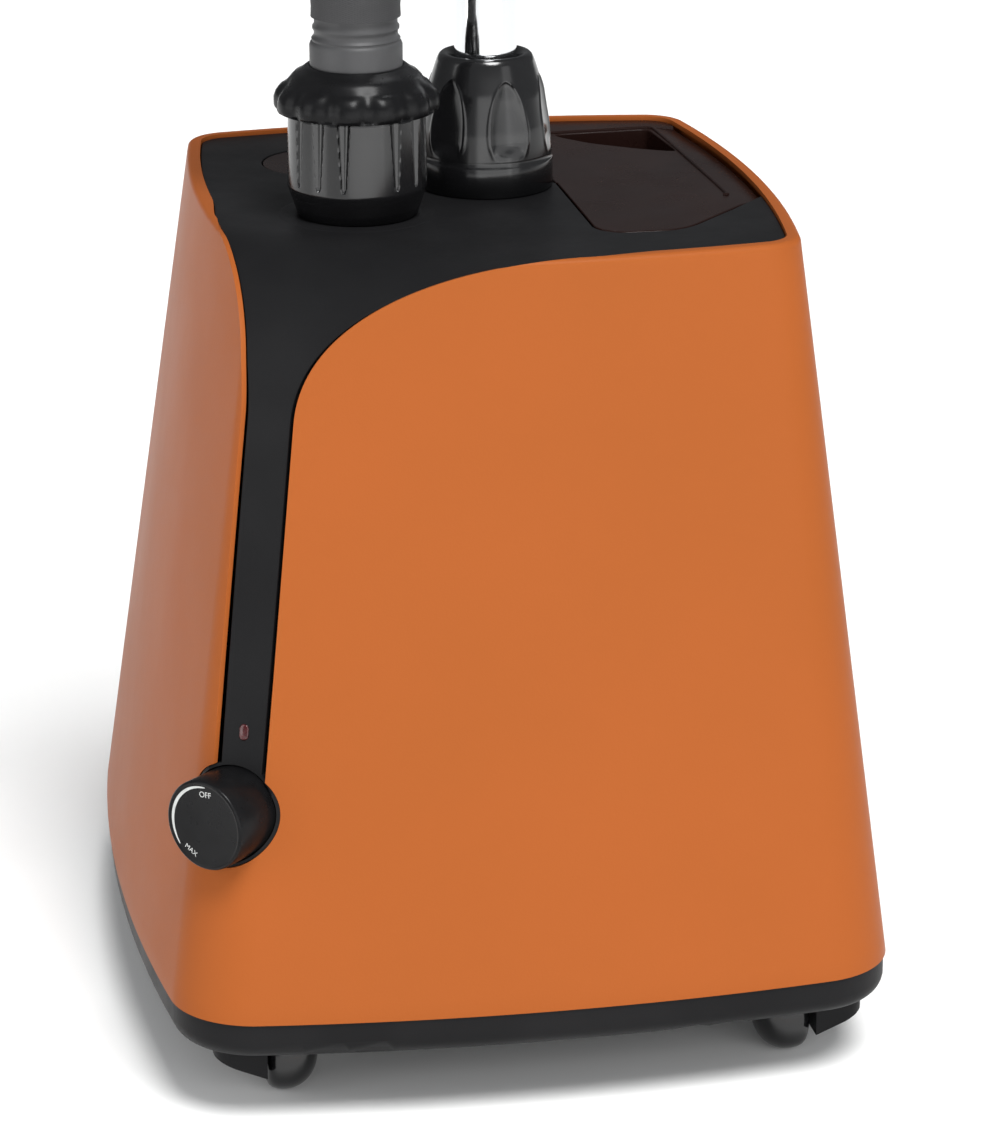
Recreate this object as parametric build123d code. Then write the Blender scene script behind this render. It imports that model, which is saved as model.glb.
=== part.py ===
"""Upright garment steamer: a tapered housing on four rollers, a telescopic mast and a hung steam head.

Units are millimetres. The origin is on the floor, below the middle of the housing.
+X is to the right, +Y to the back, +Z up. The control dial is on the front left corner.
"""
from build123d import *
import math
import os

# ---------------------------------------------------------------- housing
TRAY_BOTTOM = 30.0
SHELL_BOTTOM = 45.3
SHELL_TOP = 331.0
SHELL_WALL = 2.6
RIM_FLANGE = 5.2
FOOT = {"half_x": 150.8, "half_y": 161.7, "corner": 35.0, "bulge": 13.3, "shift_x": 0.0, "shift_y": 0.0}
RIM = {"half_x": 114.0, "half_y": 122.4, "corner": 18.0, "bulge": 11.7, "shift_x": 3.7, "shift_y": 7.9}
GAP = 0.3

# the black ribbon that runs from the deck down the front left corner
RIBBON_AZIMUTH = 34.0
RIBBON_BOTTOM = 122.0
RIBBON_DROP = 0.2
RIBBON_FLAT = 84.0
RIBBON_TURN = (147.5, 273.0)
RIBBON_SINK = 0.8
COVER_WALL = 3.0
DECK_TOP = SHELL_TOP - 1.5

# the round cap in the deck and the supply lead's gland in the back wall
FILL_X, FILL_Y, FILL_RADIUS = -52.0, 66.0, 25.0
FILL_DEPTH, FILL_NECK = 3.0, 12.0
INLET_X, INLET_Z, INLET_RADIUS = 70.0, 82.0, 8.0

# ---------------------------------------------------------------- control dial
DIAL_AZIMUTH = 46.0
DIAL_RADIUS = 17.9
DIAL_LENGTH = 22.0
DIAL_FACE = (-130.8, -142.5, 124.5)
DIAL_SHAFT_RADIUS = 3.0
BEZEL_RADIUS = 19.5
LAMP_HEIGHT = 155.8

# ---------------------------------------------------------------- rollers
ROLLER_RADIUS = 16.0
ROLLER_WIDTH = 21.0
ROLLER_FACE_X = 109.0
ROLLER_MIDDLE_X = 3.5
ROLLER_Y = (-113.0, 118.0)
AXLE_RADIUS = 3.0
BRACKET_WIDTH = 20.0
BRACKET_LENGTH = 34.0

# ---------------------------------------------------------------- mast
MAST_X, MAST_Y = 6.8, 15.0
LOWER_RADIUS, MIDDLE_RADIUS, UPPER_RADIUS = 12.5, 11.0, 9.5
TUBE_WALL = 1.0
LOWER_BOTTOM, LOWER_TOP = 66.0, 800.0
MIDDLE_BOTTOM, MIDDLE_TOP = 745.0, 1130.0
UPPER_BOTTOM, UPPER_TOP = 1075.0, 1470.0
LOCK_HEIGHT = 38.0
LOCK_RADIUS = 17.0

# ---------------------------------------------------------------- bell collar and hose collar
BELL_HEIGHT = 54.0
BELL_RADIUS = 27.0
BELL_TURN = 11.6
HOSE_X, HOSE_Y = -51.0, -22.5
HOSE_RADIUS = 17.5
COLLAR_RADIUS = 27.4
COLLAR_TOP = 371.0
COLLAR_GROOVES = 16
COLLAR_TURN = -19.7
RING_RADIUS = 32.5
RING_TOP = 389.0
RING_LOBES = 12
CUFF_TOP = 408.0

# ---------------------------------------------------------------- water tank
TANK_LEFT = 35.8
TANK_FRONT = -71.5
TANK_BOTTOM = 150.0
TANK_WALL = 2.4
LID_HEIGHT = 7.5
NECK_X, NECK_Y = 72.0, 20.0
NECK_RADIUS = 16.0
GRIP_LOW, GRIP_HIGH = (53.0, 64.0), (96.0, 98.0)
GRIP_DEPTH = 20.0

# ---------------------------------------------------------------- boiler (left, front, right, back)
BOILER = (-98.0, -52.0, -20.0, 66.0)
BOILER_BOTTOM, BOILER_SPLIT, BOILER_TOP = 62.0, 104.0, 128.0

# ---------------------------------------------------------------- steam head
HEAD_Y = -42.0
HANDLE_BOTTOM = 1300.0
HANDLE_TOP = 1418.0
HEAD_TOP = 1500.0
ARM_PIVOT = 27.0
ARM_LENGTH = 104.0
ARM_RADIUS = 5.5
ARM_Z = 1492.0

# route of the steam hose, from the lower cuff to the upper one
HOSE_ROUTE = [
    (HOSE_X, HOSE_Y, CUFF_TOP),
    (HOSE_X, HOSE_Y, 510.0),
    (-91.0, -27.0, 606.0),
    (-190.0, -33.0, 710.0),
    (-222.0, -38.0, 852.0),
    (-169.0, -43.0, 984.0),
    (-46.0, -44.0, 1079.0),
    (MAST_X, HEAD_Y, 1183.0),
    (MAST_X, HEAD_Y, HANDLE_BOTTOM),
]

written = []


def write(node, solids):
    """Give the solid, or the group of solids, its node name and write it as a STEP file."""
    if isinstance(solids, list):
        solids = Compound(children=solids)
    solids.label = node
    export_step(solids, f"parts/{node}.step")
    written.append(node)


# ---------------------------------------------------------------- plain shapes
def rod(x, y, low, high, radius):
    """An upright cylinder."""
    return Pos(x, y, (low + high) / 2) * Cylinder(radius, high - low)


def tube(x, y, low, high, outer, inner):
    """An upright tube."""
    return rod(x, y, low, high, outer) - rod(x, y, low - 1, high + 1, inner)


def block(low, high):
    """A box between its lowest and highest corners."""
    size = [h - l for l, h in zip(low, high)]
    middle = [(h + l) / 2 for l, h in zip(low, high)]
    return Pos(*middle) * Box(*size)


def turned(points, x, y):
    """A solid turned about an upright axis from (radius, height) points."""
    face = make_face(Polyline(*[(r, 0, z) for r, z in points], close=True).edges())
    return Pos(x, y, 0) * revolve(face, Axis.Z)


def cross_rod(start, end, radius):
    """A cylinder from one point to another."""
    way = Vector(*end) - Vector(*start)
    return Plane(origin=start, z_dir=way) * Pos(0, 0, way.length / 2) * Cylinder(radius, way.length)


# ---------------------------------------------------------------- housing shapes
def level(z):
    """The housing's outline sizes at one height."""
    k = (z - 45.0) / (330.0 - 45.0)
    return {name: FOOT[name] * (1 - k) + RIM[name] * k for name in FOOT}


def round_corner(size, inset=0.0):
    """The right back corner's arc: centre, radius, way to its side end, way to its other end."""
    a = size["half_x"] - inset
    b = size["half_y"] - inset
    r = size["corner"] - inset
    bulge = size["bulge"]
    side = (b * b + bulge * bulge) / (2 * bulge)
    front = (a * a + bulge * bulge) / (2 * bulge)
    x0 = a - side
    y1 = b - front
    reach = math.hypot(x0, y1)
    along = ((side - r) ** 2 - (front - r) ** 2 + reach**2) / (2 * reach)
    across = math.sqrt((side - r) ** 2 - along**2)
    cx = x0 - along * x0 / reach - across * y1 / reach
    cy = along * y1 / reach - across * x0 / reach
    to_side = Vector(cx - x0, cy).normalized()
    to_front = Vector(cx, cy - y1).normalized()
    return Vector(cx, cy), r, to_side, to_front


def outline(z, inset=0.0):
    """The housing's outline at one height: four bulging sides joined by round corners."""
    size = level(z)
    a = size["half_x"] - inset
    b = size["half_y"] - inset
    centre, r, to_side, to_front = round_corner(size, inset)
    on_side = centre + to_side * r
    on_front = centre + to_front * r
    on_corner = centre + (to_side + to_front).normalized() * r

    def arc(*points):
        shifted = [(x + size["shift_x"], y + size["shift_y"], z) for x, y in points]
        return ThreePointArc(*shifted)

    sx, sy = on_side.X, on_side.Y
    fx, fy = on_front.X, on_front.Y
    kx, ky = on_corner.X, on_corner.Y
    edges = [
        arc((sx, -sy), (a, 0), (sx, sy)),
        arc((sx, sy), (kx, ky), (fx, fy)),
        arc((fx, fy), (0, b), (-fx, fy)),
        arc((-fx, fy), (-kx, ky), (-sx, sy)),
        arc((-sx, sy), (-a, 0), (-sx, -sy)),
        arc((-sx, -sy), (-kx, -ky), (-fx, -fy)),
        arc((-fx, -fy), (0, -b), (fx, -fy)),
        arc((fx, -fy), (kx, -ky), (sx, -sy)),
    ]
    return Wire(edges)


def taper(low, high, inset=0.0):
    """The housing's own tapered block between two heights."""
    return Solid.make_loft([outline(low, inset), outline(high, inset)], ruled=True)


def upright(z, inset, low, high):
    """The outline at height z, pulled straight up from low to high."""
    face = Face(outline(z, inset))
    return Pos(0, 0, low - z) * extrude(face, amount=high - low, dir=(0, 0, 1))


RIBBON_WAY = Vector(-math.sin(math.radians(RIBBON_AZIMUTH)), -math.cos(math.radians(RIBBON_AZIMUTH)), 0)
RIBBON_ACROSS = Vector(-RIBBON_WAY.Y, RIBBON_WAY.X, 0)
RIBBON_PLANE = Plane(origin=(0, 0, 0), x_dir=RIBBON_WAY, z_dir=RIBBON_WAY.cross(Vector(0, 0, 1)))


def ribbon_controls(depth):
    """Control points (distance towards the corner, height) of the ribbon's turn, sunk by depth."""
    lean = math.hypot(1, RIBBON_DROP)
    turn_u = RIBBON_TURN[0] - depth / lean
    turn_z = RIBBON_TURN[1] - depth * RIBBON_DROP / lean
    return [
        (RIBBON_FLAT, SHELL_TOP - depth),
        (RIBBON_FLAT + 34.0 - depth / 2, SHELL_TOP - depth),
        (turn_u - 36.0 * RIBBON_DROP, turn_z + 36.0 - depth / 2),
        (turn_u, turn_z),
    ]


def ribbon_foot(depth):
    """The ribbon's lower end, sunk by depth."""
    turn_u, turn_z = ribbon_controls(depth)[3]
    return (turn_u + RIBBON_DROP * (turn_z - RIBBON_BOTTOM), RIBBON_BOTTOM)


def ribbon_layer(outer, inner):
    """The sheet between two depths under the ribbon's surface, with the flat deck behind it."""
    top = ribbon_controls(outer)
    under = ribbon_controls(inner)
    far = -190.0
    edges = [
        Line((far, top[0][1]), top[0]),
        Bezier(*top),
        Line(top[3], ribbon_foot(outer)),
        Line(ribbon_foot(outer), ribbon_foot(inner)),
        Line(ribbon_foot(inner), under[3]),
        Bezier(*reversed(under)),
        Line(under[0], (far, under[0][1])),
        Line((far, under[0][1]), (far, top[0][1])),
    ]
    face = RIBBON_PLANE * make_face(edges)
    return extrude(face, amount=200, both=True)


def ribbon_reach(z):
    """How far towards the corner the ribbon's surface lies at one height."""
    turn_u, turn_z = RIBBON_TURN
    if z <= turn_z:
        return turn_u + RIBBON_DROP * (turn_z - z)
    low, high = 0.0, 1.0
    controls = ribbon_controls(0)
    for _ in range(40):
        t = (low + high) / 2
        weights = [(1 - t) ** 3, 3 * t * (1 - t) ** 2, 3 * t * t * (1 - t), t**3]
        height = sum(w * c[1] for w, c in zip(weights, controls))
        low, high = (t, high) if height > z else (low, t)
    return sum(w * c[0] for w, c in zip(weights, controls))


def opening_edges(z):
    """Where the ribbon meets the front wall (x) and the left wall (y) at one height."""
    size = level(z)
    shift = Vector(size["shift_x"], size["shift_y"])
    reach = ribbon_reach(z)
    centre, r, to_side, to_front = round_corner(size)
    middle = shift - centre
    depth = reach - middle.dot(RIBBON_WAY)
    if abs(depth) < r:
        half = math.sqrt(r * r - depth * depth)
        on_front = middle + RIBBON_WAY * depth + RIBBON_ACROSS * half
        on_left = middle + RIBBON_WAY * depth - RIBBON_ACROSS * half
        arc_front = middle - to_front * r
        arc_left = middle - to_side * r
        if on_front.X <= arc_front.X and on_left.Y <= arc_left.Y:
            return on_front.X, on_left.Y
    x = y = -90.0
    for _ in range(30):
        front = shift.Y - size["half_y"] + size["bulge"] * ((x - shift.X) / size["half_x"]) ** 2
        left = shift.X - size["half_x"] + size["bulge"] * ((y - shift.Y) / size["half_y"]) ** 2
        x = (reach - front * RIBBON_WAY.Y) / RIBBON_WAY.X
        y = (reach - left * RIBBON_WAY.X) / RIBBON_WAY.Y
    return x, y


def opening(grow):
    """The column cut out of the housing for the ribbon, made larger by grow."""
    heights = [RIBBON_BOTTOM, 273, 285, 296, 305, 313, 320, 325, 328.5, 330.2]
    edges = [opening_edges(z) for z in heights]
    front = [(x + grow, z) for (x, _), z in zip(edges, heights)]
    left = [(y + grow, z) for (_, y), z in zip(edges, heights)]

    def cutter(points, plane):
        low, high = points[0], points[-1]
        outline_edges = [
            Line(low, points[1]),
            Spline(*points[1:]),
            Line(high, (high[0], 345)),
            Line((high[0], 345), (-200, 345)),
            Line((-200, 345), (-200, low[1])),
            Line((-200, low[1]), low),
        ]
        return extrude(plane * make_face(outline_edges), amount=220, both=True)

    return cutter(front, Plane.XZ) & cutter(left, Plane.YZ)


def dial_point(out, side=0.0, up=0.0):
    """A point beside the dial's axis: out from its face, to its side, and up."""
    angle = math.radians(DIAL_AZIMUTH)
    x = DIAL_FACE[0] - out * math.sin(angle) + side * math.cos(angle)
    y = DIAL_FACE[1] - out * math.cos(angle) - side * math.sin(angle)
    return (x, y, DIAL_FACE[2] + up)


def dial_rod(near, far, radius):
    """A cylinder about the dial's axis, between two distances out from its face."""
    return cross_rod(dial_point(near), dial_point(far), radius)


# ---------------------------------------------------------------- rollers
def roller_places():
    """Centre of each roller's flat face, with the side it is on (-1 left, 1 right)."""
    for end, y in (("front", ROLLER_Y[0]), ("rear", ROLLER_Y[1])):
        for name, side in (("left", -1), ("right", 1)):
            yield f"{end}_{name}", side, ROLLER_MIDDLE_X + side * ROLLER_FACE_X, y


def roller(side, face_x, y):
    """A domed roller: flat towards its bracket and rounded on the inner side."""
    r = ROLLER_RADIUS
    w = ROLLER_WIDTH
    profile = [
        Line((0, 0), (0, r - 3.5)),
        ThreePointArc((0, r - 3.5), (2.2, r - 1.1), (6.0, r)),
        Line((6.0, r), (8.0, r)),
        ThreePointArc((8.0, r), (w - 3.8, r * 0.66), (w, r * 0.2)),
        Line((w, r * 0.2), (w, 0)),
        Line((w, 0), (0, 0)),
    ]
    solid = revolve(make_face(profile), Axis.X)
    solid -= cross_rod((-1, 0, 0), (w - 5.5, 0, 0), AXLE_RADIUS + 0.06)
    if side > 0:
        solid = mirror(solid, Plane.YZ)
    return Pos(face_x, y, r) * solid


def bracket(side, face_x, y):
    """The moulded block that holds a roller's axle: its lower face rises towards the outside."""
    inner = face_x + side * 1.2
    outer = inner + side * BRACKET_WIDTH
    end = -1 if y < 0 else 1
    front = y + end * 18.0
    back = y - end * (BRACKET_LENGTH - 18.0)
    points = [(inner, 11.5), (inner, 36.0), (outer, 36.0), (outer, 20.0)]
    face = make_face(Polyline(*[(x, front, z) for x, z in points], close=True).edges())
    solid = extrude(face, amount=BRACKET_LENGTH, dir=(0, -end, 0))
    corner = [e for e in solid.edges().filter_by(Axis.Z) if abs(e.center().X - outer) < 0.1]
    solid = fillet([e for e in corner if abs(e.center().Y - front) < 0.1], 9.0)
    return solid - axle(side, face_x, y)


def axle(side, face_x, y):
    """The steel pin pressed in a bracket."""
    start = (face_x + side * 14.0, y, ROLLER_RADIUS)
    end = (face_x - side * (ROLLER_WIDTH - 6.0), y, ROLLER_RADIUS)
    return cross_rod(start, end, AXLE_RADIUS)


def screw(x, y, head_z, length, radius=1.8):
    """A pan head screw driven upwards from below."""
    return rod(x, y, head_z, head_z + 2.4, 3.6) + rod(x, y, head_z + 2.4, head_z + length, radius)


# ---------------------------------------------------------------- base
def tray_screws():
    """Screws that hold the tray to the housing's posts."""
    places = [(-118, -60), (-118, 75), (118, -60), (118, 75), (-40, 138), (45, 138), (-20, -138), (60, -138)]
    return [screw(x, y, 29.0, 26.0) for x, y in places]


def base_tray():
    band = upright(45.0, 0.8, TRAY_BOTTOM, 45.0)
    lower = band.edges().group_by(Axis.Z)[0]
    band = fillet(lower, 7.0)
    tray = band + upright(45.0, 5.0, 44.0, 55.0)
    tray -= upright(45.0, 7.4, 35.0, 60.0)
    tray += block((-56, -139, 26), (66, 139, 33))
    tray += rod(MAST_X, MAST_Y, 33.0, 64.0, 21.0)
    for _, side, face_x, y in roller_places():
        middle = face_x - side * ROLLER_WIDTH / 2
        half = ROLLER_WIDTH / 2 + 3.0
        tray += block((middle - half - 3, y - 23, 33), (middle + half + 3, y + 23, 39))
        tray -= block((middle - half, y - 20, 20), (middle + half, y + 20, 36))
        tray -= bracket(side, face_x, y)
    return tray - tray_screws() - mast_bolt()


def mast_bolt():
    """The bolt that pulls the mast down on the tray."""
    return rod(MAST_X, MAST_Y, 22.4, 26.0, 7.0) + rod(MAST_X, MAST_Y, 26.0, 78.0, 4.0)


def outer_shell():
    shell = taper(SHELL_BOTTOM, SHELL_TOP) - taper(SHELL_BOTTOM - 1, SHELL_TOP + 1, SHELL_WALL)
    flange = upright(SHELL_TOP, 0.0, 327.5, SHELL_TOP) & taper(327.5, SHELL_TOP)
    shell += flange - upright(SHELL_TOP, RIM_FLANGE, 320, 340)
    shell -= opening(0)
    shell -= dial_rod(-40, 20, BEZEL_RADIUS + GAP)
    shell -= cross_rod((INLET_X, 140, INLET_Z), (INLET_X, 170, INLET_Z), INLET_RADIUS)
    return shell



def tank_outline(grow=0.0):
    """Plan of the tank: a straight left side, a rounded front corner and a slanted front right side."""
    left = TANK_LEFT - grow
    front = TANK_FRONT - grow
    bend = (TANK_LEFT + 33 + 0.4 * grow, TANK_FRONT + 2.5 - 0.9 * grow)
    turn = (TANK_LEFT + 40 + 0.7 * grow, TANK_FRONT + 8 - 0.7 * grow)
    slant = (116.0 + grow * 1.4, -19.0)
    return make_face(
        [
            Line((left, 140), (left, front + 13)),
            ThreePointArc((left, front + 13), (left + 3.5, front + 4), (left + 12, front)),
            Line((left + 12, front), (TANK_LEFT + 24, front)),
            ThreePointArc((TANK_LEFT + 24, front), bend, turn),
            Line(turn, slant),
            Line(slant, (slant[0], 140)),
            Line((slant[0], 140), (left, 140)),
        ]
    )


def tank_block(low, high, grow=0.0):
    """The tank's outer block, which follows the housing's rim on the right and at the back."""
    plan = Pos(0, 0, low) * extrude(tank_outline(grow), amount=high - low)
    return plan & upright(SHELL_TOP, RIM_FLANGE + 0.6 - grow, low - 1, high + 1)


def top_cover():
    sheet = ribbon_layer(RIBBON_SINK + 0.7, RIBBON_SINK + 0.7 + COVER_WALL)
    behind = taper(60, SHELL_TOP + 2, SHELL_WALL + GAP)
    rim = upright(SHELL_TOP, 0.0, 327.2, 340) - upright(SHELL_TOP, RIM_FLANGE + GAP, 320, 345)
    cover = (sheet & behind) - rim
    cover += sheet & taper(60, SHELL_TOP, 1.2) & opening(-GAP)
    cover -= Pos(0, 0, 300) * extrude(tank_outline(0.8), amount=60)
    cover -= rod(MAST_X, MAST_Y, 300, 345, 16.1)
    cover -= rod(HOSE_X, HOSE_Y, 300, 345, 15.0)
    cover += rod(FILL_X, FILL_Y, 322.0, DECK_TOP - 1, FILL_RADIUS + 3)
    cover -= rod(FILL_X, FILL_Y, DECK_TOP - FILL_DEPTH, 345, FILL_RADIUS)
    cover -= rod(FILL_X, FILL_Y, 310.0, 345, FILL_NECK + GAP)
    cover -= dial_rod(-40, 20, BEZEL_RADIUS)
    cover -= indicator_lens()
    return max(cover.solids(), key=lambda s: s.volume)



def filler_cap():
    """The round cap set flush in the deck, with the short plug below it and a finger slot."""
    cap = rod(FILL_X, FILL_Y, DECK_TOP - FILL_DEPTH + GAP, DECK_TOP - 0.4, FILL_RADIUS - GAP)
    cap += rod(FILL_X, FILL_Y, 314.0, DECK_TOP - FILL_DEPTH + GAP, FILL_NECK)
    return cap - block((FILL_X - 9, FILL_Y - 1.5, DECK_TOP - 1.8), (FILL_X + 9, FILL_Y + 1.5, 340))


def dial_bezel():
    """The sleeve around the dial, flush with the housing and with the ribbon."""
    sleeve = dial_rod(-38, 0, BEZEL_RADIUS)
    sleeve -= dial_rod(-DIAL_LENGTH - 0.6, 5, DIAL_RADIUS + 0.5)
    sleeve -= dial_rod(-50, -5, DIAL_SHAFT_RADIUS + 0.06)
    sleeve = sleeve & taper(80, 175, 0.3)
    sleeve -= ribbon_layer(-40.0, RIBBON_SINK + 0.7)
    return max(sleeve.solids(), key=lambda s: s.volume)


def dial_knob():
    knob = dial_rod(-DIAL_LENGTH, 0, DIAL_RADIUS)
    rims = knob.edges().filter_by(GeomType.CIRCLE)
    knob = chamfer([e for e in rims if (e.arc_center - Vector(*dial_point(0))).length < 0.1], 0.9)
    hollow = dial_rod(-DIAL_LENGTH - 1, -3, DIAL_RADIUS - 2.2)
    hollow -= dial_rod(-DIAL_LENGTH - 1, -3, 6.0)
    return knob - hollow - dial_rod(-DIAL_LENGTH - 1, -10, DIAL_SHAFT_RADIUS)


def dial_shaft():
    return dial_rod(-46, -10, DIAL_SHAFT_RADIUS)


def steam_regulator():
    """The energy regulator that the dial turns."""
    body = dial_rod(-64, -38, 16.0) - dial_rod(-46.3, -30, DIAL_SHAFT_RADIUS + 0.06)
    for side in (-8.0, 0.0, 8.0):
        body += cross_rod(dial_point(-72, side), dial_point(-63, side), 1.6)
    return body


def indicator_lens():
    """The small red lens set in the middle of the ribbon, above the dial."""
    full = ribbon_reach(LAMP_HEIGHT)
    edge_x, edge_y = opening_edges(LAMP_HEIGHT)
    on_front = (edge_x - full * RIBBON_WAY.X) / RIBBON_ACROSS.X
    on_left = (edge_y - full * RIBBON_WAY.Y) / RIBBON_ACROSS.Y
    place = RIBBON_WAY * (full - RIBBON_SINK - 0.7) + RIBBON_ACROSS * ((on_front + on_left) / 2)
    tilt = Plane(origin=(place.X, place.Y, LAMP_HEIGHT), x_dir=RIBBON_ACROSS, z_dir=RIBBON_WAY)
    return tilt * Pos(0, 0, -2.6) * extrude(SlotOverall(6.6, 4.0, rotation=90), amount=3.0)


def mains_inlet():
    """The gland in the back wall where the supply lead enters."""
    body = cross_rod((INLET_X, 140, INLET_Z), (INLET_X, 160.5, INLET_Z), INLET_RADIUS - GAP)
    return body - cross_rod((INLET_X, 139, INLET_Z), (INLET_X, 162, INLET_Z), 3.6)


# ---------------------------------------------------------------- boiler and water path
def boiler_bolts():
    x0, y0, x1, y1 = BOILER
    places = [(x, y) for x in (x0 + 7, x1 - 7) for y in (y0 + 7, (y0 + y1) / 2, y1 - 7)]
    return [rod(x, y, 78, BOILER_TOP, 2.0) + rod(x, y, BOILER_TOP, BOILER_TOP + 3, 4.0) for x, y in places]


def boiler_base():
    x0, y0, x1, y1 = BOILER
    body = fillet(block((x0, y0, BOILER_BOTTOM), (x1, y1, BOILER_SPLIT)).edges().filter_by(Axis.Z), 10)
    body -= fillet(block((x0 + 14, y0 + 14, 84), (x1 - 14, y1 - 14, 120)).edges().filter_by(Axis.Z), 8)
    return body + boiler_legs() - boiler_bolts() - heating_element()


def boiler_lid():
    x0, y0, x1, y1 = BOILER
    body = fillet(block((x0, y0, BOILER_SPLIT + 1.5), (x1, y1, BOILER_TOP)).edges().filter_by(Axis.Z), 10)
    body -= fillet(block((x0 + 14, y0 + 14, 100), (x1 - 14, y1 - 14, 118)).edges().filter_by(Axis.Z), 8)
    body -= rod(HOSE_X, HOSE_Y, 100, 140, 7.0)
    return body - boiler_bolts()


def boiler_gasket():
    x0, y0, x1, y1 = BOILER
    body = fillet(block((x0, y0, BOILER_SPLIT), (x1, y1, BOILER_SPLIT + 1.5)).edges().filter_by(Axis.Z), 10)
    body -= fillet(block((x0 + 14, y0 + 14, 100), (x1 - 14, y1 - 14, 118)).edges().filter_by(Axis.Z), 8)
    return body - boiler_bolts()


def heating_element():
    """The tubular heater cast in the boiler's floor, with both ends out at the back."""
    x0, y0, x1, y1 = BOILER
    a, b, front = x0 + 22, x1 - 22, y0 + 24
    path = FilletPolyline((a, y1 + 12, 73), (a, front, 73), (b, front, 73), (b, y1 + 12, 73), radius=14)
    return sweep(Plane(origin=path @ 0, z_dir=path % 0) * Circle(4.0), path=path)


def boiler_legs():
    x0, y0, x1, y1 = BOILER
    places = [(x, y) for x in (x0 + 12, x1 - 12) for y in (y0 + 12, y1 - 12)]
    return [rod(x, y, 35.0, BOILER_BOTTOM + 1, 6.0) for x, y in places]


def thermostat():
    body = rod(-76, 30, BOILER_TOP, BOILER_TOP + 9, 9.0)
    return body + block((-84, 27, BOILER_TOP + 9), (-68, 33, BOILER_TOP + 15))


def thermal_fuse():
    body = cross_rod((-40, 20, BOILER_TOP + 4), (-40, 46, BOILER_TOP + 4), 3.0)
    return body + block((-45, 29, BOILER_TOP), (-35, 37, BOILER_TOP + 4))


def steam_pipe():
    """The pipe from the boiler's lid straight up to the hose socket."""
    return tube(HOSE_X, HOSE_Y, BOILER_TOP, 300.0, 9.0, 7.0)


def hose_socket():
    """The socket under the deck that the hose screws on."""
    body = tube(HOSE_X, HOSE_Y, 300.0, 345.0, 14.6, 9.0) + tube(HOSE_X, HOSE_Y, 318.0, 325.6, 19.0, 9.0)
    return body + tube(HOSE_X, HOSE_Y, 290.0, 300.1, 14.6, 9.0)


def tank_shelf():
    """The shelf that the water tank stands on, with its legs down to the tray."""
    shelf = tank_block(TANK_BOTTOM - 6.0, TANK_BOTTOM - 2.5)
    shelf -= rod(NECK_X, NECK_Y, 130, 160, NECK_RADIUS + 5.5)
    for x, y in ((45, -64), (100, 66), (46, 104), (46, 50)):
        shelf += rod(x, y, 35.0, TANK_BOTTOM - 5.9, 5.0)
    for x, y in ((44, 60), (102, 60), (60, -50)):
        shelf += rod(x, y, TANK_BOTTOM - 2.6, TANK_BOTTOM - 0.02, 4.0)
    return shelf


def tank_valve_seat():
    """The cup below the tank's cap that the water runs into."""
    cup = tube(NECK_X, NECK_Y, 118.0, TANK_BOTTOM - 6.0, 24.0, 20.6) + rod(NECK_X, NECK_Y, 114.0, 118.1, 24.0)
    cup += tube(NECK_X, NECK_Y, 104.0, 114.1, 6.0, 4.0)
    return cup - rod(NECK_X, NECK_Y, 100, 130, 4.0)


def water_pump():
    pump = cross_rod((40, -40, 70), (92, -40, 70), 15.0)
    pump += block((44, -52, 35), (88, -28, 60))
    return pump + cross_rod((84, -40, 70), (98, -40, 70), 5.0)


def feed_tube():
    """The silicone tube from the tank's cup to the pump."""
    path = FilletPolyline(
        (NECK_X, NECK_Y, 104), (NECK_X, NECK_Y, 84), (104, 4, 76), (118, -40, 70), (98, -40, 70), radius=8
    )
    return sweep(Plane(origin=path @ 0, z_dir=path % 0) * Circle(5.0), path=path)


def boiler_tube():
    """The silicone tube from the pump to the boiler."""
    path = FilletPolyline((40, -40, 70), (20, -40, 70), (2, -30, 92), (BOILER[2], -30, 92), radius=7)
    return sweep(Plane(origin=path @ 0, z_dir=path % 0) * Circle(5.0), path=path)


# ---------------------------------------------------------------- tank
def water_tank():
    """The tub of the tank, open at the top until the lid goes on, with its neck below."""
    tub = tank_block(TANK_BOTTOM, DECK_TOP - LID_HEIGHT)
    inner = tank_block(TANK_BOTTOM + TANK_WALL, DECK_TOP, -TANK_WALL)
    tub -= inner
    tub += tube(NECK_X, NECK_Y, TANK_BOTTOM - 12.0, TANK_BOTTOM + 1, NECK_RADIUS, NECK_RADIUS - TANK_WALL)
    return tub - rod(NECK_X, NECK_Y, 130, 156, NECK_RADIUS - TANK_WALL)



def tank_lid():
    """The lid with its finger grip, a pocket that deepens towards the back."""
    lid = tank_block(DECK_TOP - LID_HEIGHT, DECK_TOP)
    skirt = tank_block(DECK_TOP - LID_HEIGHT - 6, DECK_TOP - LID_HEIGHT + 0.1, -TANK_WALL - 0.1)
    skirt -= tank_block(DECK_TOP - LID_HEIGHT - 8, DECK_TOP, -TANK_WALL - 2.2)
    pocket = block((*GRIP_LOW, DECK_TOP - GRIP_DEPTH), (*GRIP_HIGH, 340))
    wall = block(
        (GRIP_LOW[0] - 2.2, GRIP_LOW[1] - 2.2, DECK_TOP - GRIP_DEPTH - 2.2),
        (GRIP_HIGH[0] + 2.2, GRIP_HIGH[1] + 2.2, DECK_TOP - 1),
    )
    return lid + skirt + wall - pocket


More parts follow.
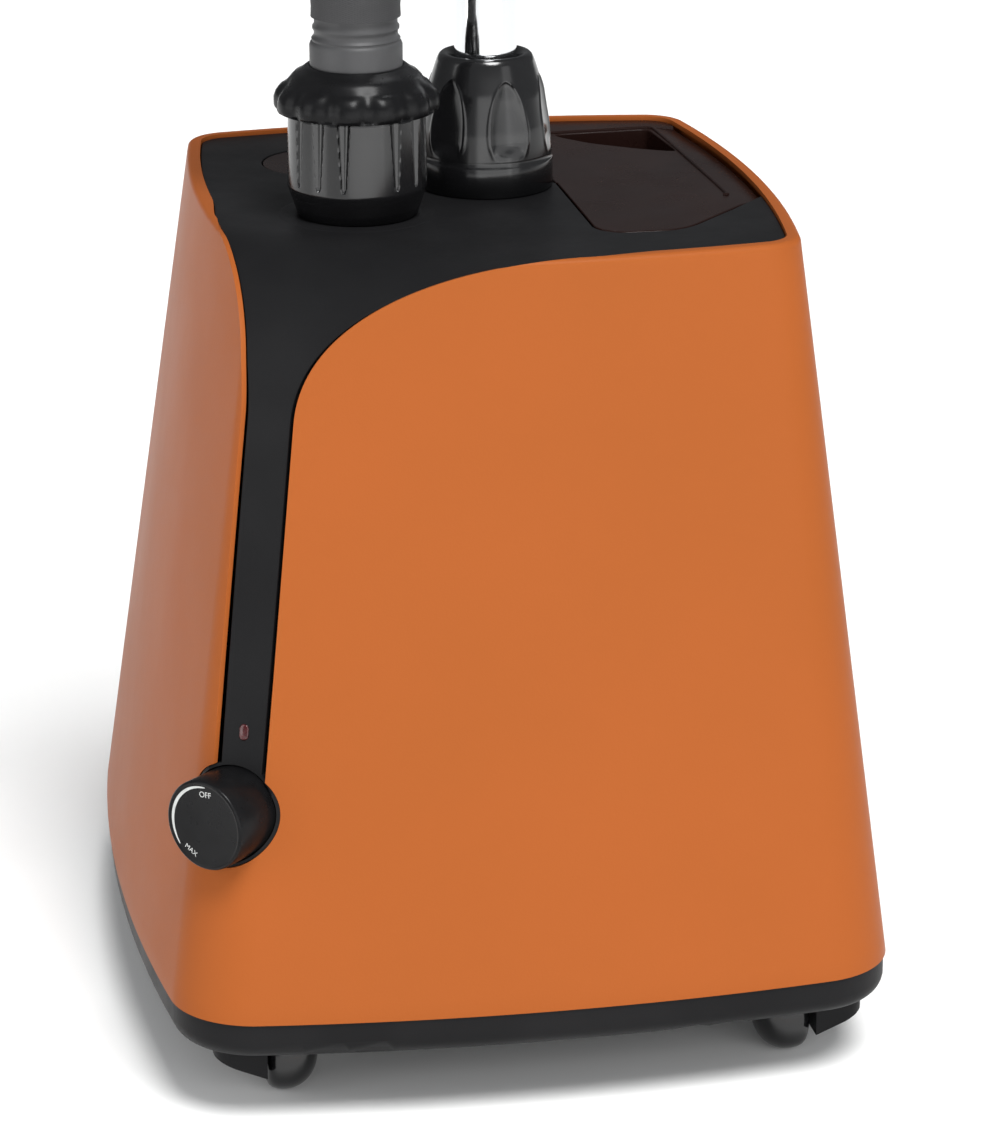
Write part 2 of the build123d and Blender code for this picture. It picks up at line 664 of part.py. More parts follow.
def tank_cap():
    """The cap screwed on the tank's neck, with its ribs."""
    low = TANK_BOTTOM - 18.0
    cap = rod(NECK_X, NECK_Y, low, TANK_BOTTOM - 2.0, NECK_RADIUS + 2.6)
    cap -= rod(NECK_X, NECK_Y, TANK_BOTTOM - 12.3, TANK_BOTTOM, NECK_RADIUS + 0.06)
    cap -= rod(NECK_X, NECK_Y, low - 1, TANK_BOTTOM, 3.1)
    for k in range(12):
        angle = math.radians(30 * k)
        reach = NECK_RADIUS + 3.4
        cap -= rod(NECK_X + reach * math.cos(angle), NECK_Y + reach * math.sin(angle), low - 1, 150, 1.6)
    return cap


def tank_valve():
    """The sprung pin that opens when the tank sits on its shelf."""
    low = TANK_BOTTOM - 24.0
    return rod(NECK_X, NECK_Y, low, TANK_BOTTOM - 11.0, 3.0) + rod(NECK_X, NECK_Y, 138.1, 141.5, 8.0)


# ---------------------------------------------------------------- collars on the deck
def bell_collar():
    """The bell-shaped collar that grips the mast: turned, with six pointed scoops."""
    base = DECK_TOP + GAP
    top = base + BELL_HEIGHT
    outer = make_face(
        [
            Line((13.2, base), (BELL_RADIUS, base)),
            Line((BELL_RADIUS, base), (BELL_RADIUS - 0.3, base + 12)),
            Spline((BELL_RADIUS - 0.3, base + 12), (25.8, base + 26), (23.2, base + 41), (19.0, top - 2)),
            ThreePointArc((19.0, top - 2), (17.8, top - 0.4), (16.0, top)),
            Line((16.0, top), (13.2, top - 3)),
            Line((13.2, top - 3), (13.2, base)),
        ]
    )
    bell = revolve(Plane.XZ * outer, Axis.Z)
    for k in range(6):
        angle = math.radians(60 * k + BELL_TURN)
        reach = 40.0
        place = Pos(reach * math.sin(angle), -reach * math.cos(angle), base + 28)
        bell -= place * Rot(0, 0, math.degrees(angle)) * Rot(9, 0, 0) * Cylinder(16.2, 36)
    return Pos(MAST_X, MAST_Y, 0) * bell


def bell_collet():
    """The slotted sleeve inside the bell that closes on the mast."""
    sleeve = tube(MAST_X, MAST_Y, DECK_TOP - 12, DECK_TOP - 0.05, 15.8, LOWER_RADIUS)
    return sleeve - block((MAST_X - 1.5, MAST_Y - 20, 300), (MAST_X + 1.5, MAST_Y, 330))


def hose_collar():
    """The nut that holds the hose on its socket, with grooves in groups of three."""
    base = DECK_TOP + GAP
    nut = turned(
        [(17.0, base), (23.4, base), (COLLAR_RADIUS, base + 11), (COLLAR_RADIUS - 0.5, COLLAR_TOP)]
        + [(18.5, COLLAR_TOP), (18.5, base + 18), (17.0, base + 18)],
        HOSE_X,
        HOSE_Y,
    )
    for k in range(COLLAR_GROOVES):
        if k % 4 == 1:
            continue
        cutter = Pos(HOSE_X, HOSE_Y, 0) * Rot(0, 0, COLLAR_TURN + 360 * k / COLLAR_GROOVES)
        high, low = COLLAR_TOP + 1, base + 13
        wedge = Polyline((-2.2, high), (2.2, high), (0.5, low), (-0.5, low), close=True)
        groove = extrude(Plane.XZ * make_face(wedge.edges()), amount=4)
        nut -= cutter * Pos(0, -COLLAR_RADIUS + 3.0, 0) * groove
    return nut


def hose_ring():
    """The lobed ring that locks the hose's cuff in the nut."""
    base = COLLAR_TOP + GAP
    top = RING_TOP
    dome = turned(
        [(18.5, base), (RING_RADIUS, base), (RING_RADIUS, base + 3), (29.6, base + 9.5)]
        + [(24.0, base + 14.5), (19.6, top), (18.5, top)],
        HOSE_X,
        HOSE_Y,
    )
    for k in range(RING_LOBES):
        angle = math.radians(360 * (k + 0.5) / RING_LOBES)
        reach = RING_RADIUS + 1.6
        dome -= rod(HOSE_X + reach * math.cos(angle), HOSE_Y + reach * math.sin(angle), base - 1, top, 4.0)
    return dome


# ---------------------------------------------------------------- mast
def mast_lower():
    return tube(MAST_X, MAST_Y, LOWER_BOTTOM, LOWER_TOP, LOWER_RADIUS, LOWER_RADIUS - TUBE_WALL)


def mast_foot():
    """The plug in the lower tube's end that the mast bolt screws into."""
    plug = rod(MAST_X, MAST_Y, 64.0, 96.0, LOWER_RADIUS - TUBE_WALL) - mast_bolt()
    return plug + tube(MAST_X, MAST_Y, 64.0, LOWER_BOTTOM, LOWER_RADIUS, 6.0)


def sliding_tube(low, high, radius):
    return tube(MAST_X, MAST_Y, low, high, radius, radius - TUBE_WALL)


def glide(low, outer, inner):
    """The nylon bush on the foot of a sliding tube."""
    return tube(MAST_X, MAST_Y, low - 6, low + 22, outer - TUBE_WALL - 0.08, inner)


def lock_collar(top, below, above):
    """The twist lock on the upper end of a tube: it grips the thinner tube above."""
    low = top - LOCK_HEIGHT + 12
    body = turned(
        [(below + 0.06, low), (LOCK_RADIUS - 1.2, low), (LOCK_RADIUS, low + 3), (LOCK_RADIUS, top + 4)]
        + [(above + 3.0, top + 12), (above + 0.3, top + 12)]
        + [(above + 0.3, top + 0.3), (below + 0.06, top + 0.3)],
        MAST_X,
        MAST_Y,
    )
    for k in range(12):
        angle = math.radians(30 * k)
        reach = LOCK_RADIUS + 1.2
        body -= rod(MAST_X + reach * math.cos(angle), MAST_Y + reach * math.sin(angle), low + 4, top + 3, 2.2)
    return body


# ---------------------------------------------------------------- steam head and hanger
def hanger_hub():
    """The cap on the mast with the cradle in front and the pivots of both arms."""
    hub = rod(MAST_X, MAST_Y, 1440, 1502, 15.0) - rod(MAST_X, MAST_Y, 1430, UPPER_TOP, UPPER_RADIUS)
    hub = chamfer(hub.edges().group_by(Axis.Z)[-1], 2.0)
    half = ARM_PIVOT + 9
    hub += block((MAST_X - half, MAST_Y - 11, ARM_Z - 10), (MAST_X + half, MAST_Y + 11, ARM_Z + 10))
    for side in (-1, 1):
        x = MAST_X + side * ARM_PIVOT
        hub -= block((x - 9.5 - (side < 0), MAST_Y - 6, 1480), (x + 9.5 + (side > 0), MAST_Y + 6, 1510))
    hub += block((MAST_X - 9, -18, 1446), (MAST_X + 9, MAST_Y - 11, 1462))
    hub += block((MAST_X - 9, -18, 1446), (MAST_X + 9, -14, 1476))
    return hub - arm_pins()


def arm_pins():
    """The two pins that the hanger arms turn on."""
    pins = []
    for side in (-1, 1):
        x = MAST_X + side * ARM_PIVOT
        pins.append(cross_rod((x, MAST_Y - 11, ARM_Z), (x, MAST_Y + 11, ARM_Z), 2.5))
    return pins


def hanger_arm(side):
    """A folding arm for clothes hangers."""
    x = MAST_X + side * ARM_PIVOT
    eye = cross_rod((x, MAST_Y - 5.6, ARM_Z), (x, MAST_Y + 5.6, ARM_Z), 7.5)
    arm = eye + cross_rod((x, MAST_Y, ARM_Z), (x + side * ARM_LENGTH, MAST_Y, ARM_Z), ARM_RADIUS)
    return arm - cross_rod((x, MAST_Y - 12, ARM_Z), (x, MAST_Y + 12, ARM_Z), 2.56)


def head_handle():
    """The grip of the steam head, with the steam passage through it."""
    return turned(
        [(8.0, HANDLE_BOTTOM + 30), (19.0, HANDLE_BOTTOM + 30), (18.0, 1346), (17.0, 1366)]
        + [(17.4, 1392), (20.5, HANDLE_TOP), (8.0, HANDLE_TOP)],
        MAST_X,
        HEAD_Y,
    )


def head_outline(grow):
    """The head's face: narrow at the grip, wide at the top."""
    narrow, wide = 25.0 + grow, 56.0 + grow
    return make_face(
        Polyline(
            (-narrow, HANDLE_TOP - grow), (narrow, HANDLE_TOP - grow), (wide, 1462),
            (wide - 4, HEAD_TOP + grow), (-wide + 4, HEAD_TOP + grow), (-wide, 1462), close=True,
        ).edges()
    )


def head_slab(front, back, grow, corner):
    slab = Pos(MAST_X, back, 0) * extrude(Plane.XZ * head_outline(grow), amount=back - front)
    return fillet(slab.edges().filter_by(Axis.Y), corner)


def head_shell():
    """The rear shell of the steam head, hollow and open to the front."""
    shell = head_slab(-62.0, -24.0, 0.0, 9.0)
    shell = fillet(shell.faces().sort_by(Axis.Y)[-1].edges(), 6.0)
    shell -= head_slab(-64.0, -27.0, -3.0, 6.0)
    return shell - rod(MAST_X, HEAD_Y, 1400, 1425, 8.0) + head_hook()


def head_front():
    """The nozzle frame around the steam plate."""
    return head_slab(-72.0, -62.0, 0.0, 9.0) - head_slab(-80.0, -50.0, -5.0, 5.0)


def steam_holes():
    places = [(x, 1486.0) for x in (-40, -24, -8, 8, 24, 40)]
    places += [(x, 1466.0) for x in (-32, -16, 0, 16, 32)]
    places += [(x, 1446.0) for x in (-16, 0, 16)]
    return [cross_rod((MAST_X + x, -80, z), (MAST_X + x, -60, z), 2.2) for x, z in places]


def steam_plate():
    """The metal face of the head with its steam holes."""
    return head_slab(-73.5, -66.0, -5.3, 5.0) - steam_holes()


def head_hook():
    """The hook on the back of the head that hangs in the cradle."""
    hook = block((MAST_X - 8, -24.0, 1470), (MAST_X + 8, -19.0, 1494))
    hook += block((MAST_X - 8, -19.1, 1477), (MAST_X + 8, -11, 1481))
    return hook + block((MAST_X - 8, -13.6, 1466), (MAST_X + 8, -11, 1477.1))


def lower_cuff():
    """The stiff end of the hose in the ring, with its neck groove."""
    return turned(
        [(12.0, 350), (16.6, 350), (16.6, 372), (18.1, 376), (18.1, 398)]
        + [(16.3, 400), (16.3, CUFF_TOP), (12.0, CUFF_TOP)],
        HOSE_X,
        HOSE_Y,
    )


def upper_cuff():
    """The stiff end of the hose in the grip."""
    z = HANDLE_BOTTOM
    return turned(
        [(12.0, z), (17.8, z), (18.6, z + 6), (18.6, z + 24), (16.6, z + 30), (12.0, z + 30)],
        MAST_X,
        HEAD_Y,
    )


def steam_hose():
    """The hose between its two cuffs: straight runs joined by tangent arcs."""
    points = [Vector(*p) for p in HOSE_ROUTE]
    runs = [b - a for a, b in zip(points, points[1:])]
    radii = []
    length = sum(run.length for run in runs)
    for one, two in zip(runs, runs[1:]):
        turn = math.radians(one.get_angle(two))
        shorter = min(one.length, two.length)
        radius = 0.45 * shorter / math.tan(turn / 2)
        radii.append(radius)
        length += radius * turn - 0.9 * shorter
    path = FilletPolyline(*HOSE_ROUTE, radius=radii)
    hose = sweep(Plane(origin=path @ 0, z_dir=path % 0) * Circle(HOSE_RADIUS), path=path)
    volume = math.pi * HOSE_RADIUS**2 * length
    print("hose radii", [round(r) for r in radii], "length", round(length, 1))
    print("hose volume over section times length", round(hose.volume / volume, 4))
    return hose


# ---------------------------------------------------------------- write every piece
def main():
    os.makedirs("parts", exist_ok=True)
    write("base_tray", base_tray())
    write("tray_screws", tray_screws())
    write("mast_bolt", mast_bolt())
    write("outer_shell", outer_shell())
    write("top_cover", top_cover())
    write("filler_cap", filler_cap())
    write("dial_bezel", dial_bezel())
    write("dial_knob", dial_knob())
    write("dial_shaft", dial_shaft())
    write("steam_regulator", steam_regulator())
    write("indicator_lens", indicator_lens())
    write("mains_inlet", mains_inlet())
    write("boiler_base", boiler_base())
    write("boiler_lid", boiler_lid())
    write("boiler_gasket", boiler_gasket())
    write("boiler_bolts", boiler_bolts())
    write("heating_element", heating_element())
    write("thermostat", thermostat())
    write("thermal_fuse", thermal_fuse())
    write("steam_pipe", steam_pipe())
    write("hose_socket", hose_socket())
    write("tank_shelf", tank_shelf())
    write("tank_valve_seat", tank_valve_seat())
    write("water_pump", water_pump())
    write("feed_tube", feed_tube())
    write("boiler_tube", boiler_tube())
    write("water_tank", water_tank())
    write("tank_lid", tank_lid())
    write("tank_cap", tank_cap())
    write("tank_valve", tank_valve())
    write("bell_collar", bell_collar())
    write("bell_collet", bell_collet())
    write("hose_collar", hose_collar())
    write("hose_ring", hose_ring())
    write("mast_lower", mast_lower())
    write("mast_foot", mast_foot())
    write("mast_middle", sliding_tube(MIDDLE_BOTTOM, MIDDLE_TOP, MIDDLE_RADIUS))
    write("mast_upper", sliding_tube(UPPER_BOTTOM, UPPER_TOP, UPPER_RADIUS))
    write("middle_glide", glide(MIDDLE_BOTTOM, LOWER_RADIUS, MIDDLE_RADIUS))
    write("upper_glide", glide(UPPER_BOTTOM, MIDDLE_RADIUS, UPPER_RADIUS))
    write("lower_lock", lock_collar(LOWER_TOP, LOWER_RADIUS, MIDDLE_RADIUS))
    write("upper_lock", lock_collar(MIDDLE_TOP, MIDDLE_RADIUS, UPPER_RADIUS))
    write("hanger_hub", hanger_hub())
    write("arm_pins", arm_pins())
    write("hanger_arm_left", hanger_arm(-1))
    write("hanger_arm_right", hanger_arm(1))
    write("head_handle", head_handle())
    write("head_shell", head_shell())
    write("head_front", head_front())
    write("steam_plate", steam_plate())
    write("lower_cuff", lower_cuff())
    write("upper_cuff", upper_cuff())
    write("steam_hose", steam_hose())
    brackets = []
    axles = []
    for name, side, face_x, y in roller_places():
        write(f"roller_{name}", roller(side, face_x, y))
        brackets.append(bracket(side, face_x, y))
        axles.append(axle(side, face_x, y))
    write("roller_brackets", brackets)
    write("roller_axles", axles)
    print(len(written), "nodes")


main()
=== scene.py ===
"""Looks of the upright garment steamer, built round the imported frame.

Shapes are worked out in millimetres and written in metres, in the frame's own axes.
"""
import bmesh
import bpy
import math
import numpy as np
from mathutils import Matrix, Vector


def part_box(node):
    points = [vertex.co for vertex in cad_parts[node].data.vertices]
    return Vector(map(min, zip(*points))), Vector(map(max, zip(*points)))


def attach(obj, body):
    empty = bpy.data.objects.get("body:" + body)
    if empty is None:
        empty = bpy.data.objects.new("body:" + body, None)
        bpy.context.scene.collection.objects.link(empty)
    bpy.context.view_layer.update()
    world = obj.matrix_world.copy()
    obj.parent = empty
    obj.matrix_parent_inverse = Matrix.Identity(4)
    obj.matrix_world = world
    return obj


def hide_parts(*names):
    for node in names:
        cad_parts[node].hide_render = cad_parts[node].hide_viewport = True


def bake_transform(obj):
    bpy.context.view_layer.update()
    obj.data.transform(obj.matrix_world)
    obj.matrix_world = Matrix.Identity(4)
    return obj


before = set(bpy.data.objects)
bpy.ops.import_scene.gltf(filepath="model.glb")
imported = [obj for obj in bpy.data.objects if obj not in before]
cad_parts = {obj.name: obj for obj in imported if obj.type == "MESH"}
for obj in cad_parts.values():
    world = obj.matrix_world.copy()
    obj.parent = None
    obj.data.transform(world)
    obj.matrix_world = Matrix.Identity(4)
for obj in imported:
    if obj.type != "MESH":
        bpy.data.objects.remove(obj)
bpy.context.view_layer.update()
MM = 0.001

# sizes shared with the frame, in millimetres
SHELL_BOTTOM, SHELL_TOP, DECK_TOP = 45.3, 331.0, 329.5
FOOT = {"half_x": 150.8, "half_y": 161.7, "corner": 35.0, "bulge": 13.3, "shift_x": 0.0, "shift_y": 0.0}
RIM = {"half_x": 114.0, "half_y": 122.4, "corner": 18.0, "bulge": 11.7, "shift_x": 3.7, "shift_y": 7.9}
RIM_WIDTH, RIM_ROUND, WALL = 5.2, 2.2, 2.0
RIBBON_AZIMUTH, RIBBON_BOTTOM, RIBBON_DROP = 34.0, 122.0, 0.2
RIBBON_FLAT, RIBBON_TURN, RIBBON_DEPTH = 84.0, (147.5, 273.0), 1.5
WAY = np.array([-math.sin(math.radians(RIBBON_AZIMUTH)), -math.cos(math.radians(RIBBON_AZIMUTH))])
ACROSS = np.array([-WAY[1], WAY[0]])
DIAL_AZIMUTH, DIAL_FACE, DIAL_LENGTH, BEZEL_RADIUS = 46.0, (-130.8, -142.5, 124.5), 22.0, 19.5
MAST = (6.8, 15.0)
HOSE = (-51.0, -22.5)
HEAD_Y = -42.0
LAMP_HEIGHT = 155.8
FILLER = (-52.0, 66.0)


# ---------------------------------------------------------------- camera and stage
def add_camera():
    data = bpy.data.cameras.new("camera")
    data.lens = 135.9
    data.sensor_width = 36.0
    data.clip_start, data.clip_end = 0.01, 100.0
    camera = bpy.data.objects.new("camera", data)
    camera.location = (-0.2964, -1.6359, 0.7367)
    camera.rotation_mode = "QUATERNION"
    camera.rotation_quaternion = Vector((0.1743, 0.9308, -0.3213)).to_track_quat("-Z", "Y")
    bpy.context.scene.collection.objects.link(camera)
    bpy.context.scene.camera = camera


def add_light(name, place, aim, size, power, colour=(1.0, 1.0, 1.0)):
    data = bpy.data.lights.new(name, "AREA")
    data.shape = "RECTANGLE"
    data.size, data.size_y = size
    data.energy = power
    data.color = colour
    light = bpy.data.objects.new(name, data)
    light.location = place
    light.rotation_mode = "QUATERNION"
    light.rotation_quaternion = (Vector(aim) - Vector(place)).to_track_quat("-Z", "Y")
    light.visible_camera = False
    bpy.context.scene.collection.objects.link(light)


add_camera()


# ---------------------------------------------------------------- materials
def linear(red, green, blue):
    """A display colour of 0 to 255 as a shader colour."""
    parts = [c / 255 for c in (red, green, blue)]
    return tuple([c / 12.92 if c <= 0.04045 else ((c + 0.055) / 1.055) ** 2.4 for c in parts] + [1.0])


class Finish:
    """A procedural material built on the frame's material of that name, or on a new one."""

    def __init__(self, name, **values):
        self.material = bpy.data.materials.get(name) or bpy.data.materials.new(name)
        self.material.use_nodes = True
        self.nodes = self.material.node_tree.nodes
        self.links = self.material.node_tree.links
        self.nodes.clear()
        self.shader = self.nodes.new("ShaderNodeBsdfPrincipled")
        output = self.nodes.new("ShaderNodeOutputMaterial")
        self.links.new(self.shader.outputs[0], output.inputs[0])
        for key, value in values.items():
            self.shader.inputs[key.replace("_", " ")].default_value = value
        self.place = self.nodes.new("ShaderNodeTexCoord").outputs["Object"]

    def stretched(self, x, y, z):
        """Object coordinates scaled on each axis."""
        node = self.nodes.new("ShaderNodeMapping")
        node.inputs["Scale"].default_value = (x, y, z)
        self.links.new(self.place, node.inputs["Vector"])
        return node.outputs[0]

    def uv(self, x, y):
        """Surface coordinates scaled on each axis."""
        source = self.nodes.new("ShaderNodeTexCoord").outputs["UV"]
        node = self.nodes.new("ShaderNodeMapping")
        node.inputs["Scale"].default_value = (x, y, 1)
        self.links.new(source, node.inputs["Vector"])
        return node.outputs[0]

    def noise(self, size, detail=3.0, roughness=0.55, place=None):
        """Noise whose features are about size metres across."""
        node = self.nodes.new("ShaderNodeTexNoise")
        node.inputs["Scale"].default_value = 1.0 / size
        node.inputs["Detail"].default_value = detail
        node.inputs["Roughness"].default_value = roughness
        self.links.new(place or self.place, node.inputs["Vector"])
        return node.outputs["Fac"]

    def band(self, source, low, high, to_low, to_high):
        """A value moved from one range to another, and held inside it."""
        node = self.nodes.new("ShaderNodeMapRange")
        for k, value in enumerate((low, high, to_low, to_high), 1):
            node.inputs[k].default_value = value
        self.links.new(source, node.inputs[0])
        return node.outputs[0]

    def mix(self, factor, one, two):
        """A blend of two colours."""
        node = self.nodes.new("ShaderNodeMix")
        node.data_type = "RGBA"
        node.inputs["A"].default_value = one
        node.inputs["B"].default_value = two
        self.links.new(factor, node.inputs["Factor"])
        return node.outputs["Result"]

    def maths(self, operation, one, two):
        node = self.nodes.new("ShaderNodeMath")
        node.operation = operation
        for k, value in enumerate((one, two)):
            if isinstance(value, (int, float)):
                node.inputs[k].default_value = value
            else:
                self.links.new(value, node.inputs[k])
        return node.outputs[0]

    def drive(self, socket, source):
        self.links.new(source, self.shader.inputs[socket])

    def bump(self, source, depth, strength=1.0):
        node = self.nodes.new("ShaderNodeBump")
        node.inputs["Strength"].default_value = strength
        node.inputs["Distance"].default_value = depth
        self.links.new(source, node.inputs["Height"])
        last = self.shader.inputs["Normal"]
        if last.is_linked:
            self.links.new(last.links[0].from_socket, node.inputs["Normal"])
        self.links.new(node.outputs[0], last)


def moulded(name, dark, light, rough, grain, depth, cloud=0.05, **values):
    """Moulded plastic: a spark-eroded grain, slow shade changes and a few rubbed patches."""
    f = Finish(name, **values)
    f.drive("Base Color", f.mix(f.band(f.noise(cloud, 2.0), 0.35, 0.65, 0.0, 1.0), dark, light))
    rubbed = f.noise(cloud * 0.6, 4.0, 0.6)
    f.drive("Roughness", f.band(rubbed, 0.3, 0.7, rough[0], rough[1]))
    f.bump(f.noise(grain, 2.0), depth)
    return f


def make_finishes():
    moulded("orange_shell", linear(147, 79, 36), linear(150, 80, 37), (0.36, 0.42), 0.0011, 0.00003,
            cloud=0.14, Specular_IOR_Level=0.04)
    moulded("black_satin", linear(21, 21, 22), linear(25, 25, 26), (0.4, 0.5), 0.0009, 0.000035,
            Specular_IOR_Level=0.09)
    gloss = moulded("black_gloss", linear(15, 15, 16), linear(19, 19, 20), (0.15, 0.21), 0.009, 0.000006,
                    Specular_IOR_Level=0.5)
    gloss.bump(gloss.noise(0.0005, 2.0), 0.000002)
    smoked = moulded("smoked_tank", linear(27, 15, 13), linear(32, 18, 15), (0.22, 0.3), 0.004, 0.00001,
                     Specular_IOR_Level=0.05)
    smoked.shader.inputs["Transmission Weight"].default_value = 0.12
    chrome = Finish("chrome_tube", Metallic=1.0)
    drawn = chrome.stretched(900, 900, 14)
    streak = chrome.noise(1.0, 4.0, 0.6, drawn)
    chrome.drive("Base Color", chrome.mix(streak, linear(226, 228, 230), linear(240, 241, 242)))
    chrome.drive("Roughness", chrome.band(streak, 0.3, 0.7, 0.045, 0.11))
    chrome.bump(streak, 0.000004)
    steel = Finish("steel", Metallic=1.0)
    worn = steel.noise(0.002, 5.0, 0.65)
    steel.drive("Base Color", steel.mix(worn, linear(150, 150, 150), linear(188, 189, 190)))
    steel.drive("Roughness", steel.band(worn, 0.3, 0.7, 0.24, 0.42))
    steel.bump(worn, 0.00002)
    alloy = Finish("alloy", Metallic=1.0)
    cast = alloy.noise(0.0016, 4.0, 0.6)
    alloy.drive("Base Color", alloy.mix(cast, linear(150, 152, 154), linear(182, 184, 186)))
    alloy.drive("Roughness", alloy.band(cast, 0.3, 0.7, 0.38, 0.6))
    alloy.bump(cast, 0.00006)
    moulded("red_lens", linear(58, 4, 8), linear(76, 7, 12), (0.12, 0.2), 0.002, 0.00001,
            cloud=0.003, Specular_IOR_Level=0.6, Transmission_Weight=0.25)
    moulded("white_nylon", linear(214, 212, 204), linear(226, 224, 217), (0.45, 0.55), 0.0008, 0.00003)
    moulded("silicone", linear(196, 190, 178), linear(212, 207, 196), (0.35, 0.5), 0.0015, 0.00003,
            Transmission_Weight=0.2)
    moulded("cuff_grey", linear(54, 54, 55), linear(60, 60, 61), (0.42, 0.52), 0.0012, 0.00003,
            Specular_IOR_Level=0.4)
    moulded("soft_black", linear(15, 15, 16), linear(19, 19, 20), (0.26, 0.32), 0.005, 0.000006, cloud=0.01,
            Specular_IOR_Level=0.12)
    moulded("dial_print", linear(176, 178, 176), linear(190, 192, 190), (0.4, 0.5), 0.0006, 0.00001,
            cloud=0.004)
    hose = Finish("hose_grey", Specular_IOR_Level=0.3)
    weft = hose.nodes.new("ShaderNodeTexWave")
    weft.wave_type, weft.bands_direction = "BANDS", "DIAGONAL"
    weft.inputs["Scale"].default_value = 1.0
    hose.links.new(hose.uv(30, 800), weft.inputs["Vector"])
    warp = hose.nodes.new("ShaderNodeTexWave")
    warp.wave_type, warp.bands_direction = "BANDS", "DIAGONAL"
    warp.inputs["Scale"].default_value = 1.0
    hose.links.new(hose.uv(-30, 800), warp.inputs["Vector"])
    thread = hose.maths("MAXIMUM", weft.outputs["Fac"], warp.outputs["Fac"])
    dust = hose.noise(0.02, 3.0)
    shade = hose.maths("ADD", hose.maths("MULTIPLY", thread, 0.4), hose.maths("MULTIPLY", dust, 0.6))
    hose.drive("Base Color", hose.mix(shade, linear(42, 42, 43), linear(58, 58, 59)))
    hose.drive("Roughness", hose.band(thread, 0.0, 1.0, 0.78, 0.6))
    hose.bump(thread, 0.0001, 0.5)
    floor = Finish("floor_pale", Specular_IOR_Level=0.2)
    floor.drive("Base Color", floor.mix(floor.noise(0.6, 2.0), linear(243, 243, 242), linear(247, 247, 246)))
    floor.drive("Roughness", floor.band(floor.noise(0.05, 3.0), 0.3, 0.7, 0.7, 0.85))


make_finishes()


def finish(name):
    return bpy.data.materials[name]


# ---------------------------------------------------------------- mesh helpers
def new_object(name, mesh):
    obj = bpy.data.objects.new(name, mesh)
    bpy.context.scene.collection.objects.link(obj)
    return obj


def settle(obj, look, body, stands_for=(), sharp=35.0):
    """Smooth shading with crisp edges, a material, and the body it moves with."""
    obj.data.materials.clear()
    obj.data.materials.append(finish(look))
    obj.data.shade_smooth()
    obj.data.set_sharp_from_angle(angle=math.radians(sharp))
    if body:
        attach(obj, body)
    if stands_for:
        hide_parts(*stands_for)
    return obj


def raw(name, points, faces):
    """A mesh object from points in millimetres, with its faces turned outwards."""
    mesh = bpy.data.meshes.new(name)
    mesh.from_pydata([tuple(MM * c for c in p) for p in points], [], faces)
    work = bmesh.new()
    work.from_mesh(mesh)
    bmesh.ops.recalc_face_normals(work, faces=work.faces)
    work.to_mesh(mesh)
    work.free()
    return new_object(name, mesh)


def grid_faces(rows, columns, closed):
    """Quads between rows of points, where each row may close on itself."""
    faces = []
    for i in range(rows - 1):
        for j in range(columns if closed else columns - 1):
            k = (j + 1) % columns
            faces.append((i * columns + j, i * columns + k, (i + 1) * columns + k, (i + 1) * columns + j))
    return faces


def baked(obj):
    """The object with its modifiers made real."""
    graph = bpy.context.evaluated_depsgraph_get()
    mesh = bpy.data.meshes.new_from_object(obj.evaluated_get(graph))
    obj.modifiers.clear()
    obj.data = mesh
    return obj


def rounded(obj, width, segments=3, angle=40.0):
    """A small round on every sharp edge."""
    bevel = obj.modifiers.new("round", "BEVEL")
    bevel.width = width * MM
    bevel.segments = segments
    bevel.limit_method = "ANGLE"
    bevel.angle_limit = math.radians(angle)
    bevel.harden_normals = False
    return obj


def lathe(name, profile, place=(0.0, 0.0), steps=128, shape=None, closed=True):
    """Turns (radius, height) points about an upright axis. shape(angle, radius, height) may change the radius."""
    profile = smooth_profile(profile)
    angles = np.linspace(0, 2 * math.pi, steps, endpoint=False)
    points = []
    for r, z in profile:
        for a in angles:
            q = shape(a, r, z) if shape else r
            points.append((place[0] + q * math.cos(a), place[1] + q * math.sin(a), z))
    rows = len(profile)
    faces = grid_faces(rows, steps, True)
    if closed:
        last = (rows - 1) * steps
        faces += [(last + j, last + (j + 1) % steps, (j + 1) % steps, j) for j in range(steps)]
    return raw(name, points, faces)


def smooth_profile(profile):
    """Profile points where an item (r, z, n, radius) asks for a corner rounded with n steps."""
    out = []
    count = len(profile)
    for k, item in enumerate(profile):
        if len(item) == 2:
            out.append(item)
            continue
        r, z, n, radius = item
        here = np.array([r, z], float)
        before = np.array(profile[(k - 1) % count][:2], float)
        after = np.array(profile[(k + 1) % count][:2], float)
        one, two = before - here, after - here
        reach = min(radius, 0.49 * np.linalg.norm(one), 0.49 * np.linalg.norm(two))
        a = here + one / np.linalg.norm(one) * reach
        b = here + two / np.linalg.norm(two) * reach
        for t in np.linspace(0, 1, n + 1):
            p = (1 - t) ** 2 * a + 2 * t * (1 - t) * here + t * t * b
            out.append((p[0], p[1]))
    return out


